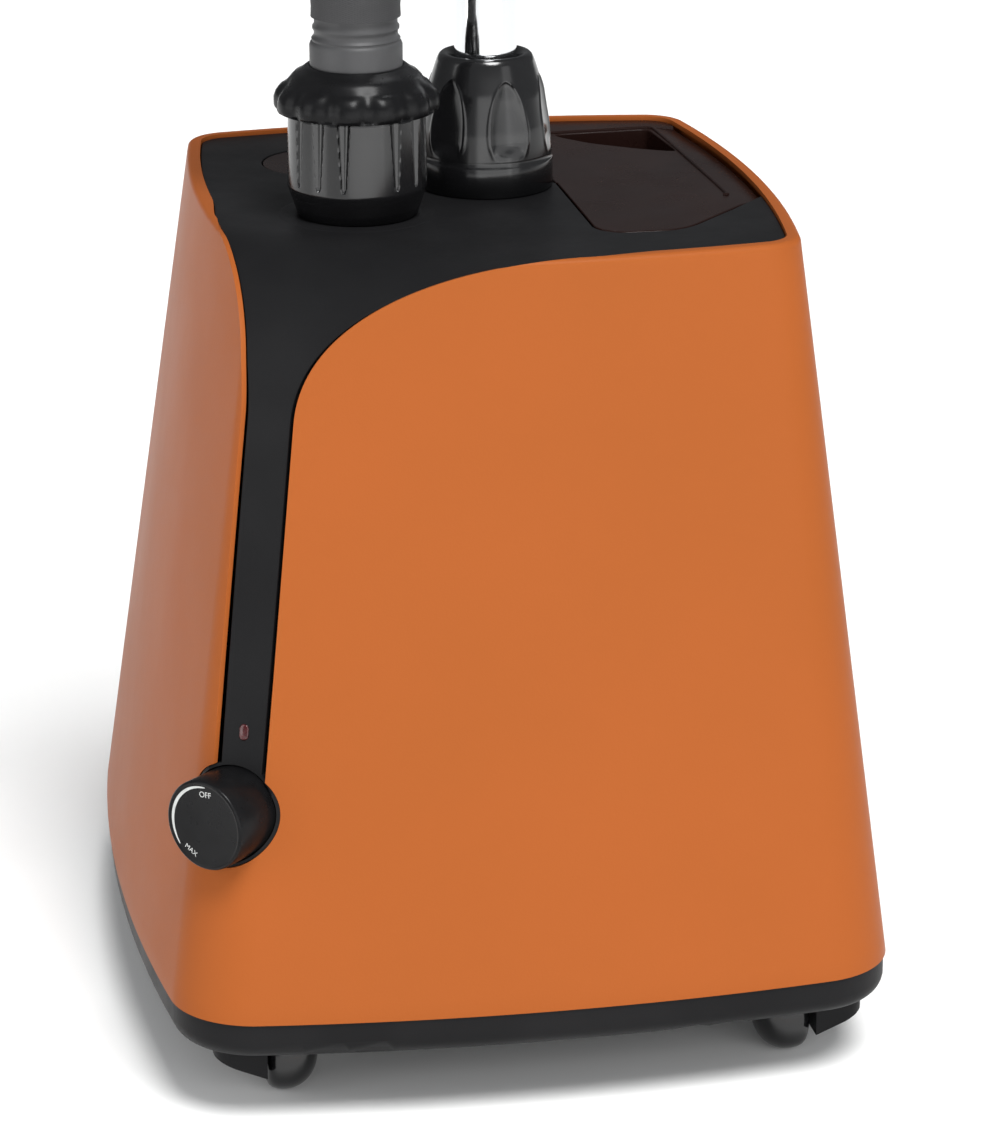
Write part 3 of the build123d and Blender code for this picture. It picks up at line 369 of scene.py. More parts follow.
def plate(name, loops, low, high, edge=0.5):
    """A flat plate with round edges between two heights: the first plan loop is its outside, the others are holes."""
    data = bpy.data.curves.new(name, "CURVE")
    data.dimensions = "2D"
    data.fill_mode = "BOTH"
    data.extrude = ((high - low) / 2 - edge) * MM
    data.bevel_depth = edge * MM
    data.bevel_resolution = 2
    data.offset = -edge * MM
    for loop in loops:
        spline = data.splines.new("POLY")
        spline.points.add(len(loop) - 1)
        for point, (x, y) in zip(spline.points, loop):
            point.co = (x * MM, y * MM, 0, 1)
        spline.use_cyclic_u = True
    shape = new_object(name, data)
    mesh = bpy.data.meshes.new_from_object(shape)
    bpy.data.objects.remove(shape)
    mesh.transform(Matrix.Translation((0, 0, (high + low) / 2 * MM)))
    work = bmesh.new()
    work.from_mesh(mesh)
    bmesh.ops.remove_doubles(work, verts=work.verts, dist=0.00001)
    bmesh.ops.recalc_face_normals(work, faces=work.faces)
    work.to_mesh(mesh)
    work.free()
    return new_object(name, mesh)


def circle(x, y, r, steps=96):
    return [(x + r * math.cos(a), y + r * math.sin(a)) for a in np.linspace(0, 2 * math.pi, steps, endpoint=False)]


def cut(obj, tool):
    """Takes the tool's shape out of the object and removes the tool."""
    change = obj.modifiers.new("cut", "BOOLEAN")
    change.operation = "DIFFERENCE"
    change.solver = "EXACT"
    change.object = tool
    bpy.context.view_layer.update()
    baked(obj)
    bpy.data.objects.remove(tool)
    return obj


# ---------------------------------------------------------------- housing outline
def housing_loop(z):
    """The housing's outline at one height, from its front left corner along the front, and its outward normals."""
    k = (z - 45.0) / 285.0
    size = {name: FOOT[name] * (1 - k) + RIM[name] * k for name in FOOT}
    a, b, r, g = size["half_x"], size["half_y"], size["corner"], size["bulge"]
    side, front = (b * b + g * g) / (2 * g), (a * a + g * g) / (2 * g)
    x0, y1 = a - side, b - front
    reach = math.hypot(x0, y1)
    along = ((side - r) ** 2 - (front - r) ** 2 + reach**2) / (2 * reach)
    over = math.sqrt((side - r) ** 2 - along**2)
    cx = x0 - along * x0 / reach - over * y1 / reach
    cy = along * y1 / reach - over * x0 / reach
    alpha, beta = math.atan2(cy, cx - x0), math.atan2(cy - y1, cx)
    half = []
    for angle in np.linspace(0, alpha, 60, endpoint=False):
        half.append((x0 + side * math.cos(angle), side * math.sin(angle), angle))
    for angle in np.linspace(alpha, beta, 50, endpoint=False):
        half.append((cx + r * math.cos(angle), cy + r * math.sin(angle), angle))
    for angle in np.linspace(beta, math.pi / 2, 60):
        half.append((front * math.cos(angle), y1 + front * math.sin(angle), angle))
    left = [(-x, y, math.pi - t) for x, y, t in reversed(half[:-1])]
    top = half + left
    low = [(-x, -y, t + math.pi) for x, y, t in top[1:]]
    whole = np.array(top + low[:-1])
    place = whole[:, :2] + (size["shift_x"], size["shift_y"])
    normal = np.column_stack([np.cos(whole[:, 2]), np.sin(whole[:, 2])])
    start = int(np.argmax(place @ WAY))
    return np.roll(place, -start, axis=0), np.roll(normal, -start, axis=0)


def bezier(t, depth):
    """(distance towards the corner, height) on the ribbon's turn, sunk by depth."""
    lean = math.hypot(1, RIBBON_DROP)
    tu, tz = RIBBON_TURN[0] - depth / lean, RIBBON_TURN[1] - depth * RIBBON_DROP / lean
    p = [(RIBBON_FLAT, SHELL_TOP - depth), (RIBBON_FLAT + 34.0 - depth / 2, SHELL_TOP - depth),
         (tu - 36.0 * RIBBON_DROP, tz + 36.0 - depth / 2), (tu, tz)]
    w = [(1 - t) ** 3, 3 * t * (1 - t) ** 2, 3 * t * t * (1 - t), t**3]
    return sum(k * q[0] for k, q in zip(w, p)), sum(k * q[1] for k, q in zip(w, p))


BEND = [bezier(t, 0.0) for t in np.linspace(0, 1, 600)]


def ribbon_reach(z):
    """How far towards the corner the ribbon's surface lies at one height."""
    if z <= RIBBON_TURN[1]:
        return RIBBON_TURN[0] + RIBBON_DROP * (RIBBON_TURN[1] - z)
    return float(np.interp(-z, [-q[1] for q in BEND], [q[0] for q in BEND]))


class Ring:
    """The outline at one height, measured by the length along it from the front left corner."""

    def __init__(self, z):
        place, normal = housing_loop(z)
        self.z = z
        self.place = np.vstack([place, place[:1]])
        self.normal = np.vstack([normal, normal[:1]])
        step = np.linalg.norm(np.diff(self.place, axis=0), axis=1)
        self.length = np.concatenate([[0], np.cumsum(step)])

    def crossing(self, reach):
        """Lengths at which the outline passes the ribbon's surface, on the front and on the left."""
        u = self.place @ WAY
        below = np.nonzero(u < reach)[0]
        found = []
        for i, j in ((below[0] - 1, below[0]), (below[-1], below[-1] + 1)):
            k = (reach - u[i]) / (u[j] - u[i])
            found.append(self.length[i] + k * (self.length[j] - self.length[i]))
        return found

    def at(self, lengths, inset=0.0):
        """Plan points at these lengths, moved inwards."""
        x = np.interp(lengths, self.length, self.place[:, 0])
        y = np.interp(lengths, self.length, self.place[:, 1])
        nx = np.interp(lengths, self.length, self.normal[:, 0])
        ny = np.interp(lengths, self.length, self.normal[:, 1])
        size = np.hypot(nx, ny)
        return np.column_stack([x - nx / size * inset, y - ny / size * inset])


def smooth(t):
    t = np.clip(t, 0, 1)
    return t * t * (3 - 2 * t)


def rim_inset(lengths, start, end):
    """Width of the rim's flat, which grows from the wall's own thickness where the ribbon leaves it."""
    near = np.minimum(lengths - start, end - lengths)
    return WALL + (RIM_WIDTH - WALL) * smooth(near / 34.0)


# ---------------------------------------------------------------- housing pieces
def dial_frame():
    """Matrix from dial space, z out of its face, to the frame, in metres."""
    a = math.radians(DIAL_AZIMUTH)
    right = Vector((math.cos(a), -math.sin(a), 0))
    up = Vector((0, 0, 1))
    out = Vector((-math.sin(a), -math.cos(a), 0))
    turn = Matrix((right, up, out)).transposed().to_4x4()
    return Matrix.Translation(Vector(DIAL_FACE) * MM) @ turn


def dial_tool(radius):
    tool = lathe("tool", [(0.01, -60), (radius, -60), (radius, 25), (0.01, 25)], steps=96)
    tool.data.transform(dial_frame())
    return tool


def housing():
    """The orange housing as one wall, cut for the ribbon and turned in at its rim."""
    columns = np.concatenate([[0, 0.5, 1.2, 2.2, 4.0], np.linspace(7.0, 1000.0, 330)[:-1]])
    share = np.concatenate([columns / 1000.0 * 0.5, 1 - columns[::-1] / 1000.0 * 0.5])
    heights = list(np.linspace(SHELL_BOTTOM, RIBBON_BOTTOM, 12))
    below = len(heights)
    heights += list(np.linspace(RIBBON_BOTTOM, RIBBON_TURN[1], 20)[1:])
    turn = [bezier(t, 0.0)[1] for t in np.linspace(1, 0, 40)]
    heights += [z for z in turn if RIBBON_TURN[1] + 1 < z < SHELL_TOP - RIM_ROUND - 0.2]
    rows = [(z, 0.0) for z in heights]
    for angle in np.linspace(0, math.pi / 2, 7):
        rows.append((SHELL_TOP - RIM_ROUND * (1 - math.sin(angle)), RIM_ROUND * (1 - math.cos(angle))))
    points = []
    for z, inset in rows:
        ring = Ring(z)
        start, end = ring.crossing(ribbon_reach(z))
        plan = ring.at(start + share * (end - start), inset)
        points += [(x, y, z) for x, y in plan]
    ring = Ring(SHELL_TOP)
    start, end = ring.crossing(RIBBON_FLAT)
    lengths = start + share * (end - start)
    full = rim_inset(lengths, start, end)
    for part in (0.4, 0.8, 1.0):
        inset = RIM_ROUND + (np.maximum(full, RIM_ROUND + 0.1) - RIM_ROUND) * part
        points += [(x, y, SHELL_TOP) for x, y in ring.at(lengths, inset)]
    wide = len(share)
    faces = grid_faces(len(rows) + 3, wide, False)
    corner = 30
    base = len(points)
    for z, _ in rows[:below]:
        ring = Ring(z)
        start, end = ring.crossing(ribbon_reach(z))
        total = ring.length[-1]
        lengths = (end + np.linspace(0, 1, corner + 2)[1:-1] * (total - end + start)) % total
        points += [(x, y, z) for x, y in ring.at(lengths)]
    for i in range(below - 1):
        left = [i * wide + wide - 1] + [base + i * corner + j for j in range(corner)] + [i * wide]
        above = [(i + 1) * wide + wide - 1] + [base + (i + 1) * corner + j for j in range(corner)] + [(i + 1) * wide]
        faces += [(left[j], left[j + 1], above[j + 1], above[j]) for j in range(corner + 1)]
    obj = raw("housing", points, faces)
    outward = sum(1 if p.normal.dot(Vector((p.center.x, p.center.y, 0))) > 0 else -1 for p in obj.data.polygons)
    if outward < 0:
        obj.data.flip_normals()
    solid = obj.modifiers.new("wall", "SOLIDIFY")
    solid.thickness = WALL * MM
    solid.offset = -1
    rounded(obj, 0.7, 3, 50)
    baked(obj)
    cut(obj, dial_tool(BEZEL_RADIUS + 0.3))
    return settle(obj, "orange_shell", "root", stands_for=["outer_shell"])


housing()


# ---------------------------------------------------------------- deck, ribbon and tank
RIBBON_LINE = [bezier(t, RIBBON_DEPTH) for t in np.linspace(0, 1, 160)]
LAST_U, LAST_Z = RIBBON_LINE[-1]
RIBBON_LINE += [(LAST_U + RIBBON_DROP * d, LAST_Z - d) for d in np.linspace(4, RIBBON_TURN[1] - 118.0, 30)]
RIBBON_LINE = np.array(RIBBON_LINE)
RIBBON_STEPS = np.linalg.norm(np.diff(RIBBON_LINE, axis=0), axis=1)
RIBBON_LENGTH = np.concatenate([[0], np.cumsum(RIBBON_STEPS)]) + RIBBON_FLAT


def arc3(a, b, c, steps=16):
    """Points on the circle through three points, from the first to the last."""
    a, b, c = (complex(*p) for p in (a, b, c))
    w = (c - a) / (b - a)
    centre = (b - a) * (w - abs(w) ** 2) / (2j * w.imag) + a
    start, mid, end = (np.angle(p - centre) for p in (a, b, c))
    turn = (end - start) % (2 * math.pi)
    if (mid - start) % (2 * math.pi) > turn:
        turn -= 2 * math.pi
    r = abs(a - centre)
    angles = start + np.linspace(0, 1, steps) * turn
    return [(centre.real + r * math.cos(t), centre.imag + r * math.sin(t)) for t in angles]


def tank_path(grow):
    """Plan of the tank's free edge, from the back along its left side to the front and out to the right."""
    left, front = 35.8 - grow, -71.5 - grow
    bend, turn = (68.8 + 0.4 * grow, -69.0 - 0.9 * grow), (75.8 + 0.7 * grow, -63.5 - 0.7 * grow)
    path = [(left, 140.0), (left, 21.5), (left - 0.6, 20.5), (left - 0.6, 13.0), (left, 12.0), (left, front + 13)]
    path += arc3((left, front + 13), (left + 3.5, front + 4), (left + 12, front))[1:]
    path += arc3((59.8, front), bend, turn)
    return path + [(116.0 + 1.4 * grow, -19.0)]


def split_rim(grow, gap):
    """The rim's inner edge as lists before, inside and after the tank, with the tank's own edge between them."""
    ring = Ring(SHELL_TOP)
    start, end = ring.crossing(RIBBON_FLAT)
    lengths = np.linspace(start, end, 900)
    loop = ring.at(lengths, rim_inset(lengths, start, end) + gap)
    path = np.array(tank_path(grow))
    (ax, ay), (bx, by) = path[-2], path[-1]
    above = (loop[:, 1] - ay) * (bx - ax) > (loop[:, 0] - ax) * (by - ay)
    inside = (loop[:, 0] > path[0, 0]) & above & (loop[:, 1] > path[:, 1].min())
    first, last = np.nonzero(inside)[0][[0, -1]]
    side = loop[first]
    free = [tuple(p) for p in path[1:-1] if p[1] < loop[last][1]]
    edge = [(path[0, 0], loop[last][1])] + free
    direction = np.array([bx - ax, by - ay]) / math.hypot(bx - ax, by - ay)
    edge.append(tuple(np.array([ax, ay]) + direction * ((side - (ax, ay)) @ direction)))
    return loop[:first], loop[first:last + 1], loop[last + 1:], edge


def strips(obj, stations):
    """Cuts the mesh across at each station, so that it can bend there."""
    work = bmesh.new()
    work.from_mesh(obj.data)
    for u in stations:
        everything = work.verts[:] + work.edges[:] + work.faces[:]
        bmesh.ops.bisect_plane(work, geom=everything, dist=1e-7, plane_co=(u * MM, 0, 0), plane_no=(1, 0, 0))
    work.to_mesh(obj.data)
    work.free()


def even(obj):
    """Normals that keep large flat faces flat beside their round edges."""
    change = obj.modifiers.new("even", "WEIGHTED_NORMAL")
    change.keep_sharp = True
    change.weight = 90
    return obj


def cover():
    """The black deck and its ribbon, laid out flat, edged, and then bent over the corner."""
    before, _, after, edge = split_rim(0.8, 0.3)
    flat = [tuple(p) for p in before] + list(reversed(edge)) + [tuple(p) for p in after]
    outline = [(float(np.dot(p, WAY)), float(np.dot(p, ACROSS))) for p in flat]
    front, left = [], []
    for k in range(6, len(RIBBON_LINE), 4):
        u, z = RIBBON_LINE[k]
        ring = Ring(z)
        ring.place = ring.place - ring.normal * (WALL + 0.3)
        one, two = ring.at(np.array(ring.crossing(u)))
        front.append((RIBBON_LENGTH[k], float(one @ ACROSS)))
        left.append((RIBBON_LENGTH[k], float(two @ ACROSS)))
    loop = list(reversed(front)) + outline + left
    holes = [circle(*place, r) for place, r in ((MAST, 16.1), (HOSE, 15.0), (FILLER, 25.0))]
    holes = [[(float(np.dot(p, WAY)), float(np.dot(p, ACROSS))) for p in hole] for hole in holes]
    obj = plate("deck_cover", [loop] + holes, -3.0, 0.0, 0.45)
    strips(obj, np.arange(RIBBON_FLAT, RIBBON_LENGTH[-1], 2.5))
    place = np.zeros(len(obj.data.vertices) * 3)
    obj.data.vertices.foreach_get("co", place)
    u, w, h = (place.reshape(-1, 3) / MM).T
    along = np.maximum(u, RIBBON_FLAT)
    centre_u = np.interp(along, RIBBON_LENGTH, RIBBON_LINE[:, 0]) + np.minimum(u - RIBBON_FLAT, 0)
    centre_z = np.interp(along, RIBBON_LENGTH, RIBBON_LINE[:, 1])
    slope = np.gradient(RIBBON_LINE, RIBBON_LENGTH, axis=0)
    du = np.interp(along, RIBBON_LENGTH, slope[:, 0])
    dz = np.interp(along, RIBBON_LENGTH, slope[:, 1])
    size = np.hypot(du, dz)
    out_u, out_z = centre_u - dz / size * h, centre_z + du / size * h
    plan = out_u[:, None] * WAY + w[:, None] * ACROSS
    obj.data.vertices.foreach_set("co", (np.column_stack([plan, out_z]) * MM).ravel())
    obj.data.update()
    work = bmesh.new()
    work.from_mesh(obj.data)
    bmesh.ops.recalc_face_normals(work, faces=work.faces)
    work.to_mesh(obj.data)
    work.free()
    cut(obj, dial_tool(BEZEL_RADIUS - 0.02))
    settle(obj, "black_satin", "root", stands_for=["top_cover"])
    even(obj)
    well = [(25.4, 329.0), (25.4, 326.5, 3, 0.6), (12.3, 326.5), (12.3, 323.5), (28.0, 323.5), (28.0, 329.0)]
    settle(lathe("filler_well", well, FILLER), "black_satin", "root")
    boss = [(23.0, 329.6), (23.8, 329.75), (25.2, 329.95, 6, 1.0), (28.0, 329.7, 6, 3.0)]
    boss += [(32.0, 329.45), (33.0, 328.9), (23.0, 328.9)]
    settle(lathe("hose_boss", boss, HOSE), "black_satin", "root")


def tank():
    """The smoked lid with its finger pocket, rail and lowered right strip."""
    _, within, _, edge = split_rim(0.0, 0.6)
    loop = [tuple(p) for p in reversed(within)] + [edge[-1]] + list(reversed(edge[:-1]))
    loop = [p for k, p in enumerate(loop) if math.dist(p, loop[k - 1]) > 0.05]
    pocket = [(51.0, 97.0), (92.5, 100.0), (95.8, 57.0), (81.5, 64.8), (63.2, 78.6), (53.0, 91.5)]
    for _ in range(3):
        cornered = []
        for a, b in zip(pocket, pocket[1:] + pocket[:1]):
            a, b = np.array(a), np.array(b)
            reach = min(0.25, 2.5 / np.linalg.norm(b - a))
            cornered += [tuple(a + (b - a) * reach), tuple(b - (b - a) * reach)]
        pocket = cornered
    obj = plate("smoked_lid", [loop, pocket], DECK_TOP - 7.5, DECK_TOP, 0.6)
    start, end = np.array([95.2, 102.0]), np.array([99.5, -30.0])
    normal = np.array([(start - end)[1], -(start - end)[0]])
    normal = normal / np.linalg.norm(normal)
    work = bmesh.new()
    work.from_mesh(obj.data)
    everything = work.verts[:] + work.edges[:] + work.faces[:]
    bmesh.ops.bisect_plane(work, geom=everything, dist=1e-7, plane_co=(start[0] * MM, start[1] * MM, 0),
                           plane_no=(normal[0], normal[1], 0))
    for v in work.verts:
        side = (v.co.x / MM - start[0]) * normal[0] + (v.co.y / MM - start[1]) * normal[1]
        if side > 0 and v.co.y < 0.103:
            v.co.z -= min(0.16 * side, 1.7) * MM
    work.to_mesh(obj.data)
    work.free()
    even(settle(obj, "smoked_tank", "tank", stands_for=["tank_lid"]))
    ring = np.array(pocket)
    middle = ring.mean(0)
    levels = [(0.0, -0.5), (0.15, -6.0), (0.5, -15.0), (1.6, -17.6), (4.0, -18.6)]
    points, count = [], len(pocket)
    for inset, depth in levels:
        way = middle - ring
        way = way / np.linalg.norm(way, axis=1)[:, None]
        points += [(x, y, DECK_TOP + depth) for x, y in ring + way * inset]
    faces = grid_faces(len(levels), count, True)
    faces.append(tuple(range((len(levels) - 1) * count, len(levels) * count)))
    grip = raw("finger_pocket", points, faces)
    grip.data.flip_normals()
    solid = grip.modifiers.new("wall", "SOLIDIFY")
    solid.thickness, solid.offset = 1.6 * MM, -1
    baked(grip)
    settle(grip, "smoked_tank", "tank", sharp=50)
    rail = [(49.0, 99.2), (70.0, 100.6), (90.0, 102.0), (94.2, 101.6), (95.4, 97.0)]
    rail += [(97.2, 40.0), (98.9, -18.0), (98.2, -20.6), (96.6, -20.2)]
    data = bpy.data.curves.new("rail", "CURVE")
    data.dimensions = "3D"
    data.bevel_depth, data.bevel_resolution = 0.85 * MM, 3
    data.use_fill_caps = True
    spline = data.splines.new("NURBS")
    spline.points.add(len(rail) - 1)
    for point, (x, y) in zip(spline.points, rail):
        point.co = (x * MM, y * MM, 0, 1)
    spline.order_u, spline.use_endpoint_u = 3, True
    shape = new_object("rail", data)
    mesh = bpy.data.meshes.new_from_object(shape)
    bpy.data.objects.remove(shape)
    for v in mesh.vertices:
        v.co.z = v.co.z * 0.8 + (DECK_TOP + 0.15) * MM
    settle(new_object("lid_rail", mesh), "smoked_tank", "tank")
    slot = [(x, y) for x, y in circle(0, 0, 1.5, 24)]
    slot = [(x + (7.5 if x > 0 else -7.5) + FILLER[0], y + FILLER[1]) for x, y in slot]
    disc = plate("filler_disc", [circle(*FILLER, 24.6), slot], 326.8, 329.15, 0.4)
    even(settle(disc, "smoked_tank", "filler_cap", stands_for=["filler_cap"]))
    plug = [(0.01, 314.0), (11.0, 314.0, 3, 1.2), (11.9, 316.0), (11.9, 327.3), (0.01, 327.3)]
    settle(lathe("filler_plug", plug, FILLER), "smoked_tank", "filler_cap")


cover()
tank()


# ---------------------------------------------------------------- collars
def leaf(t):
    """Half width of the bell's scoops from their foot (0) to their point (1)."""
    if t > 0.35:
        return math.sqrt(max(1 - ((t - 0.35) / 0.65) ** 2, 0.0))
    return 1 - 0.25 * ((0.35 - t) / 0.35) ** 2


def bell_shape(angle, r, z):
    """The bell's radius with its six arched scoops and their thin raised borders."""
    t = (z - 344.5) / (375.5 - 344.5)
    if r < 17.5 or not 0 < t < 1:
        return r
    facing = math.radians(11.6 - 90)
    local = (angle - facing + math.pi / 6) % (math.pi / 3) - math.pi / 6
    wide = math.radians(17.0) * leaf(t)
    if wide < 1e-4:
        return r
    s = abs(local) / wide
    fade = float(smooth(t / 0.22))
    dip = 2.0 * leaf(t) * fade * max(0.0, 1 - s * s) ** 0.8
    return r - dip + 0.3 * fade * math.exp(-(((s - 1.12) / 0.1) ** 2)) * min(1.0, leaf(t) * 3)


def bell():
    base = 329.8
    body = [(27.0, 341.8), (26.75, 342.4), (26.6, 344.0), (25.9, 355.0), (23.3, 369.4), (20.4, 378.5), (19.2, 382.0)]
    r = [p[0] for p in body]
    z = [p[1] for p in body]
    rows = [(float(np.interp(h, z, r)), float(h)) for h in np.linspace(344.2, 381.4, 92)]
    sweep = np.convolve([q[0] for q in rows], np.ones(9) / 9, "valid")
    rows = rows[:4] + [(float(a), q[1]) for a, q in zip(sweep, rows[4:-4])] + rows[-4:]
    profile = [(13.2, base), (26.6, base), (27.0, base + 0.5), (27.0, 341.5), (26.8, 342.0), (26.55, 342.3)] + rows
    profile += [(18.6, 383.0), (17.6, 383.8), (16.4, 383.9), (15.0, 383.4), (13.6, 381.8), (13.2, 379.8)]
    obj = lathe("mast_bell", profile, MAST, 480, bell_shape)
    settle(obj, "black_gloss", "bell_collar", stands_for=["bell_collar"], sharp=42)


def collar_shape(angle, r, z):
    """The nut's radius with its grooves, in four groups of three."""
    if r < 23.0 or z < 343.5:
        return r
    pitch = 2 * math.pi / 16
    turn = (angle - math.radians(-19.7 - 90)) / pitch
    number = round(turn)
    if number % 4 == 1:
        return r
    offset = abs(turn - number) * pitch * 27.2
    rise = (z - 343.5) / (371.0 - 343.5)
    wide = (1.0 + 1.7 * rise) * min(1.0, math.sqrt(rise / 0.05)) if rise > 0 else 0.0
    if offset >= wide or wide <= 0:
        return r
    return r - (0.9 + 1.0 * rise) * (1 - (offset / wide) ** 2) ** 0.7


def nut():
    wall = [(27.4 - 0.02 * (h - 342), float(h)) for h in np.linspace(342.2, 369.6, 70)]
    profile = [(17.0, 329.8), (23.0, 329.8), (23.6, 330.2), (27.1, 340.6), (27.4, 341.4)] + wall
    profile += [(26.5, 370.6), (25.6, 371.0), (18.5, 371.0), (18.5, 348.0), (17.0, 348.0)]
    obj = lathe("hose_nut", profile, HOSE, 512, collar_shape)
    settle(obj, "black_gloss", "hose_collar", stands_for=["hose_collar"], sharp=42)


def ring_shape(angle, r, z):
    """The lobed ring's radius."""
    if r < 26.0 or z < 371.9:
        return r
    wave = 0.5 - 0.5 * math.cos(12 * (angle - 0.26))
    return r - 1.9 * wave**1.6 * min(1.0, (r - 26.0) / 4.0)


def lobed_ring():
    profile = [(18.5, 371.3), (31.0, 371.3), (32.0, 371.9), (32.4, 373.0), (32.4, 376.2), (31.6, 378.4)]
    profile += [(30.4, 380.0), (29.6, 380.9), (28.4, 381.6), (27.2, 382.4), (25.4, 384.6), (24.0, 386.0)]
    profile += [(22.4, 386.7), (20.4, 388.2)]
    profile += [(19.4, 388.9), (18.5, 388.9)]
    obj = lathe("lobed_ring", profile, HOSE, 360, ring_shape)
    settle(obj, "soft_black", "hose_ring", stands_for=["hose_ring"], sharp=50)


bell()
nut()
lobed_ring()


# ---------------------------------------------------------------- steam hose
HOSE_ROUTE = [(*HOSE, 408), (*HOSE, 510), (-91, -27, 606), (-190, -33, 710), (-222, -38, 852),
              (-169, -43, 984), (-46, -44, 1079), (MAST[0], HEAD_Y, 1183), (MAST[0], HEAD_Y, 1300)]


def route_line():
    """Points along the smooth line of the hose, in metres."""
    data = bpy.data.curves.new("route", "CURVE")
    data.dimensions = "3D"
    data.resolution_u = 30
    spline = data.splines.new("NURBS")
    spline.points.add(len(HOSE_ROUTE) - 1)
    for point, place in zip(spline.points, HOSE_ROUTE):
        point.co = (*[c * MM for c in place], 1)
    spline.order_u = 3
    spline.use_endpoint_u = True
    shape = new_object("route", data)
    mesh = bpy.data.meshes.new_from_object(shape)
    line = np.array([v.co for v in mesh.vertices], float)
    bpy.data.objects.remove(shape)
    return line


def resampled(line, step):
    length = np.concatenate([[0], np.cumsum(np.linalg.norm(np.diff(line, axis=0), axis=1))])
    at = np.linspace(0, length[-1], int(length[-1] / step) + 1)
    return np.column_stack([np.interp(at, length, line[:, k]) for k in range(3)]), at


def hose():
    line, at = resampled(route_line(), 0.002)
    tangent = np.gradient(line, axis=0)
    tangent /= np.linalg.norm(tangent, axis=1)[:, None]
    side = np.array([1.0, 0, 0])
    points, steps = [], 72
    angles = np.linspace(0, 2 * math.pi, steps, endpoint=False)
    for p, t, s in zip(line, tangent, at):
        side = side - t * (side @ t)
        side /= np.linalg.norm(side)
        other = np.cross(t, side)
        swell = 17.5 * MM - 0.00018 * (0.5 - 0.5 * math.cos(2 * math.pi * s / 0.0072))
        points += [(p + swell * (math.cos(a) * side + math.sin(a) * other)) / MM for a in angles]
    faces = grid_faces(len(line), steps, True)
    faces += [tuple(reversed(range(steps))), tuple(range((len(line) - 1) * steps, len(line) * steps))]
    obj = raw("steam_hose_tube", points, faces)
    layer = obj.data.uv_layers.new(name="UVMap")
    for polygon in obj.data.polygons:
        around = [obj.data.loops[i].vertex_index % steps for i in polygon.loop_indices]
        wrap = max(around) - min(around) > steps / 2
        for i, a in zip(polygon.loop_indices, around):
            row = obj.data.loops[i].vertex_index // steps
            layer.data[i].uv = ((a + steps if wrap and a < steps / 2 else a) / steps, at[row] / at[-1])
    settle(obj, "hose_grey", None, stands_for=["steam_hose"], sharp=60)
    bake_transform(obj)


def cuffs():
    low = [(12.0, 350), (16.4, 350), (16.6, 352), (16.6, 371.5), (17.4, 375.0), (18.1, 377.0), (18.1, 396.8)]
    low += [(17.7, 397.9), (17.1, 398.4), (17.1, 399.0), (17.3, 399.4), (16.9, 400.0), (16.3, 400.6)]
    low += [(16.3, 402.4), (16.9, 403.2), (16.9, 404.2), (16.2, 405.0)]
    low += [(16.2, 407.98), (12.0, 407.98)]
    obj = lathe("hose_cuff_low", low, HOSE)
    settle(obj, "cuff_grey", "root", stands_for=["lower_cuff"], sharp=50)
    high = [(12.0, 1300.02), (17.2, 1300.02), (17.9, 1301.0), (18.6, 1306.0), (18.6, 1322.0)]
    high += [(18.0, 1324.6), (16.7, 1329.4), (12.0, 1329.9)]
    obj = lathe("hose_cuff_high", high, (MAST[0], HEAD_Y))
    settle(obj, "cuff_grey", "mast_upper", stands_for=["upper_cuff"], sharp=50)


cuffs()
hose()


# ---------------------------------------------------------------- dial
def dial():
    profile = [(0.01, -0.35), (15.9, -0.35), (16.4, -0.25), (16.8, 0.0), (17.1, 0.0), (17.65, -0.45), (17.9, -1.0)]
    profile += [(17.9, -11.0), (17.9, -DIAL_LENGTH + 0.6), (17.5, -DIAL_LENGTH), (0.01, -DIAL_LENGTH)]
    obj = lathe("dial", profile, steps=160)
    obj.data.transform(dial_frame())
    settle(obj, "soft_black", "dial", stands_for=["dial_knob"], sharp=50)
    points, faces = [], []
    angles = np.radians(np.linspace(-3, 130, 60))
    for k, a in enumerate(angles):
        wide = 0.25 + 0.75 * math.sin(math.pi * k / (len(angles) - 1)) ** 0.7
        for r in (15.7 - wide * 1.3, 15.7):
            points.append((-r * math.sin(a), r * math.cos(a), -0.28))
    faces = [(2 * k, 2 * k + 1, 2 * k + 3, 2 * k + 2) for k in range(len(angles) - 1)]
    arc = raw("dial_arc", points, faces)
    arc.data.transform(dial_frame())
    settle(arc, "dial_print", "dial")
    for word, angle, lean, size, reach in (("OFF", -4.0, 4.0, 3.3, 12.6), ("MAX", 150.0, 150.0, 2.9, 13.2)):
        data = bpy.data.curves.new("dial_word", "FONT")
        data.body = word
        data.size = size * MM
        data.align_x, data.align_y = "CENTER", "CENTER"
        data.extrude = 0.02 * MM
        shape = new_object("dial_word", data)
        mesh = bpy.data.meshes.new_from_object(shape)
        bpy.data.objects.remove(shape)
        a = math.radians(angle)
        turn = Matrix.Rotation(math.radians(lean - (180 if abs(lean) > 90 else 0)), 4, "Z")
        place = Vector((-reach * math.sin(a) * MM, reach * math.cos(a) * MM, -0.3 * MM))
        mesh.transform(dial_frame() @ Matrix.Translation(place) @ turn)
        settle(new_object(f"dial_word_{word.lower()}", mesh), "dial_print", "dial")


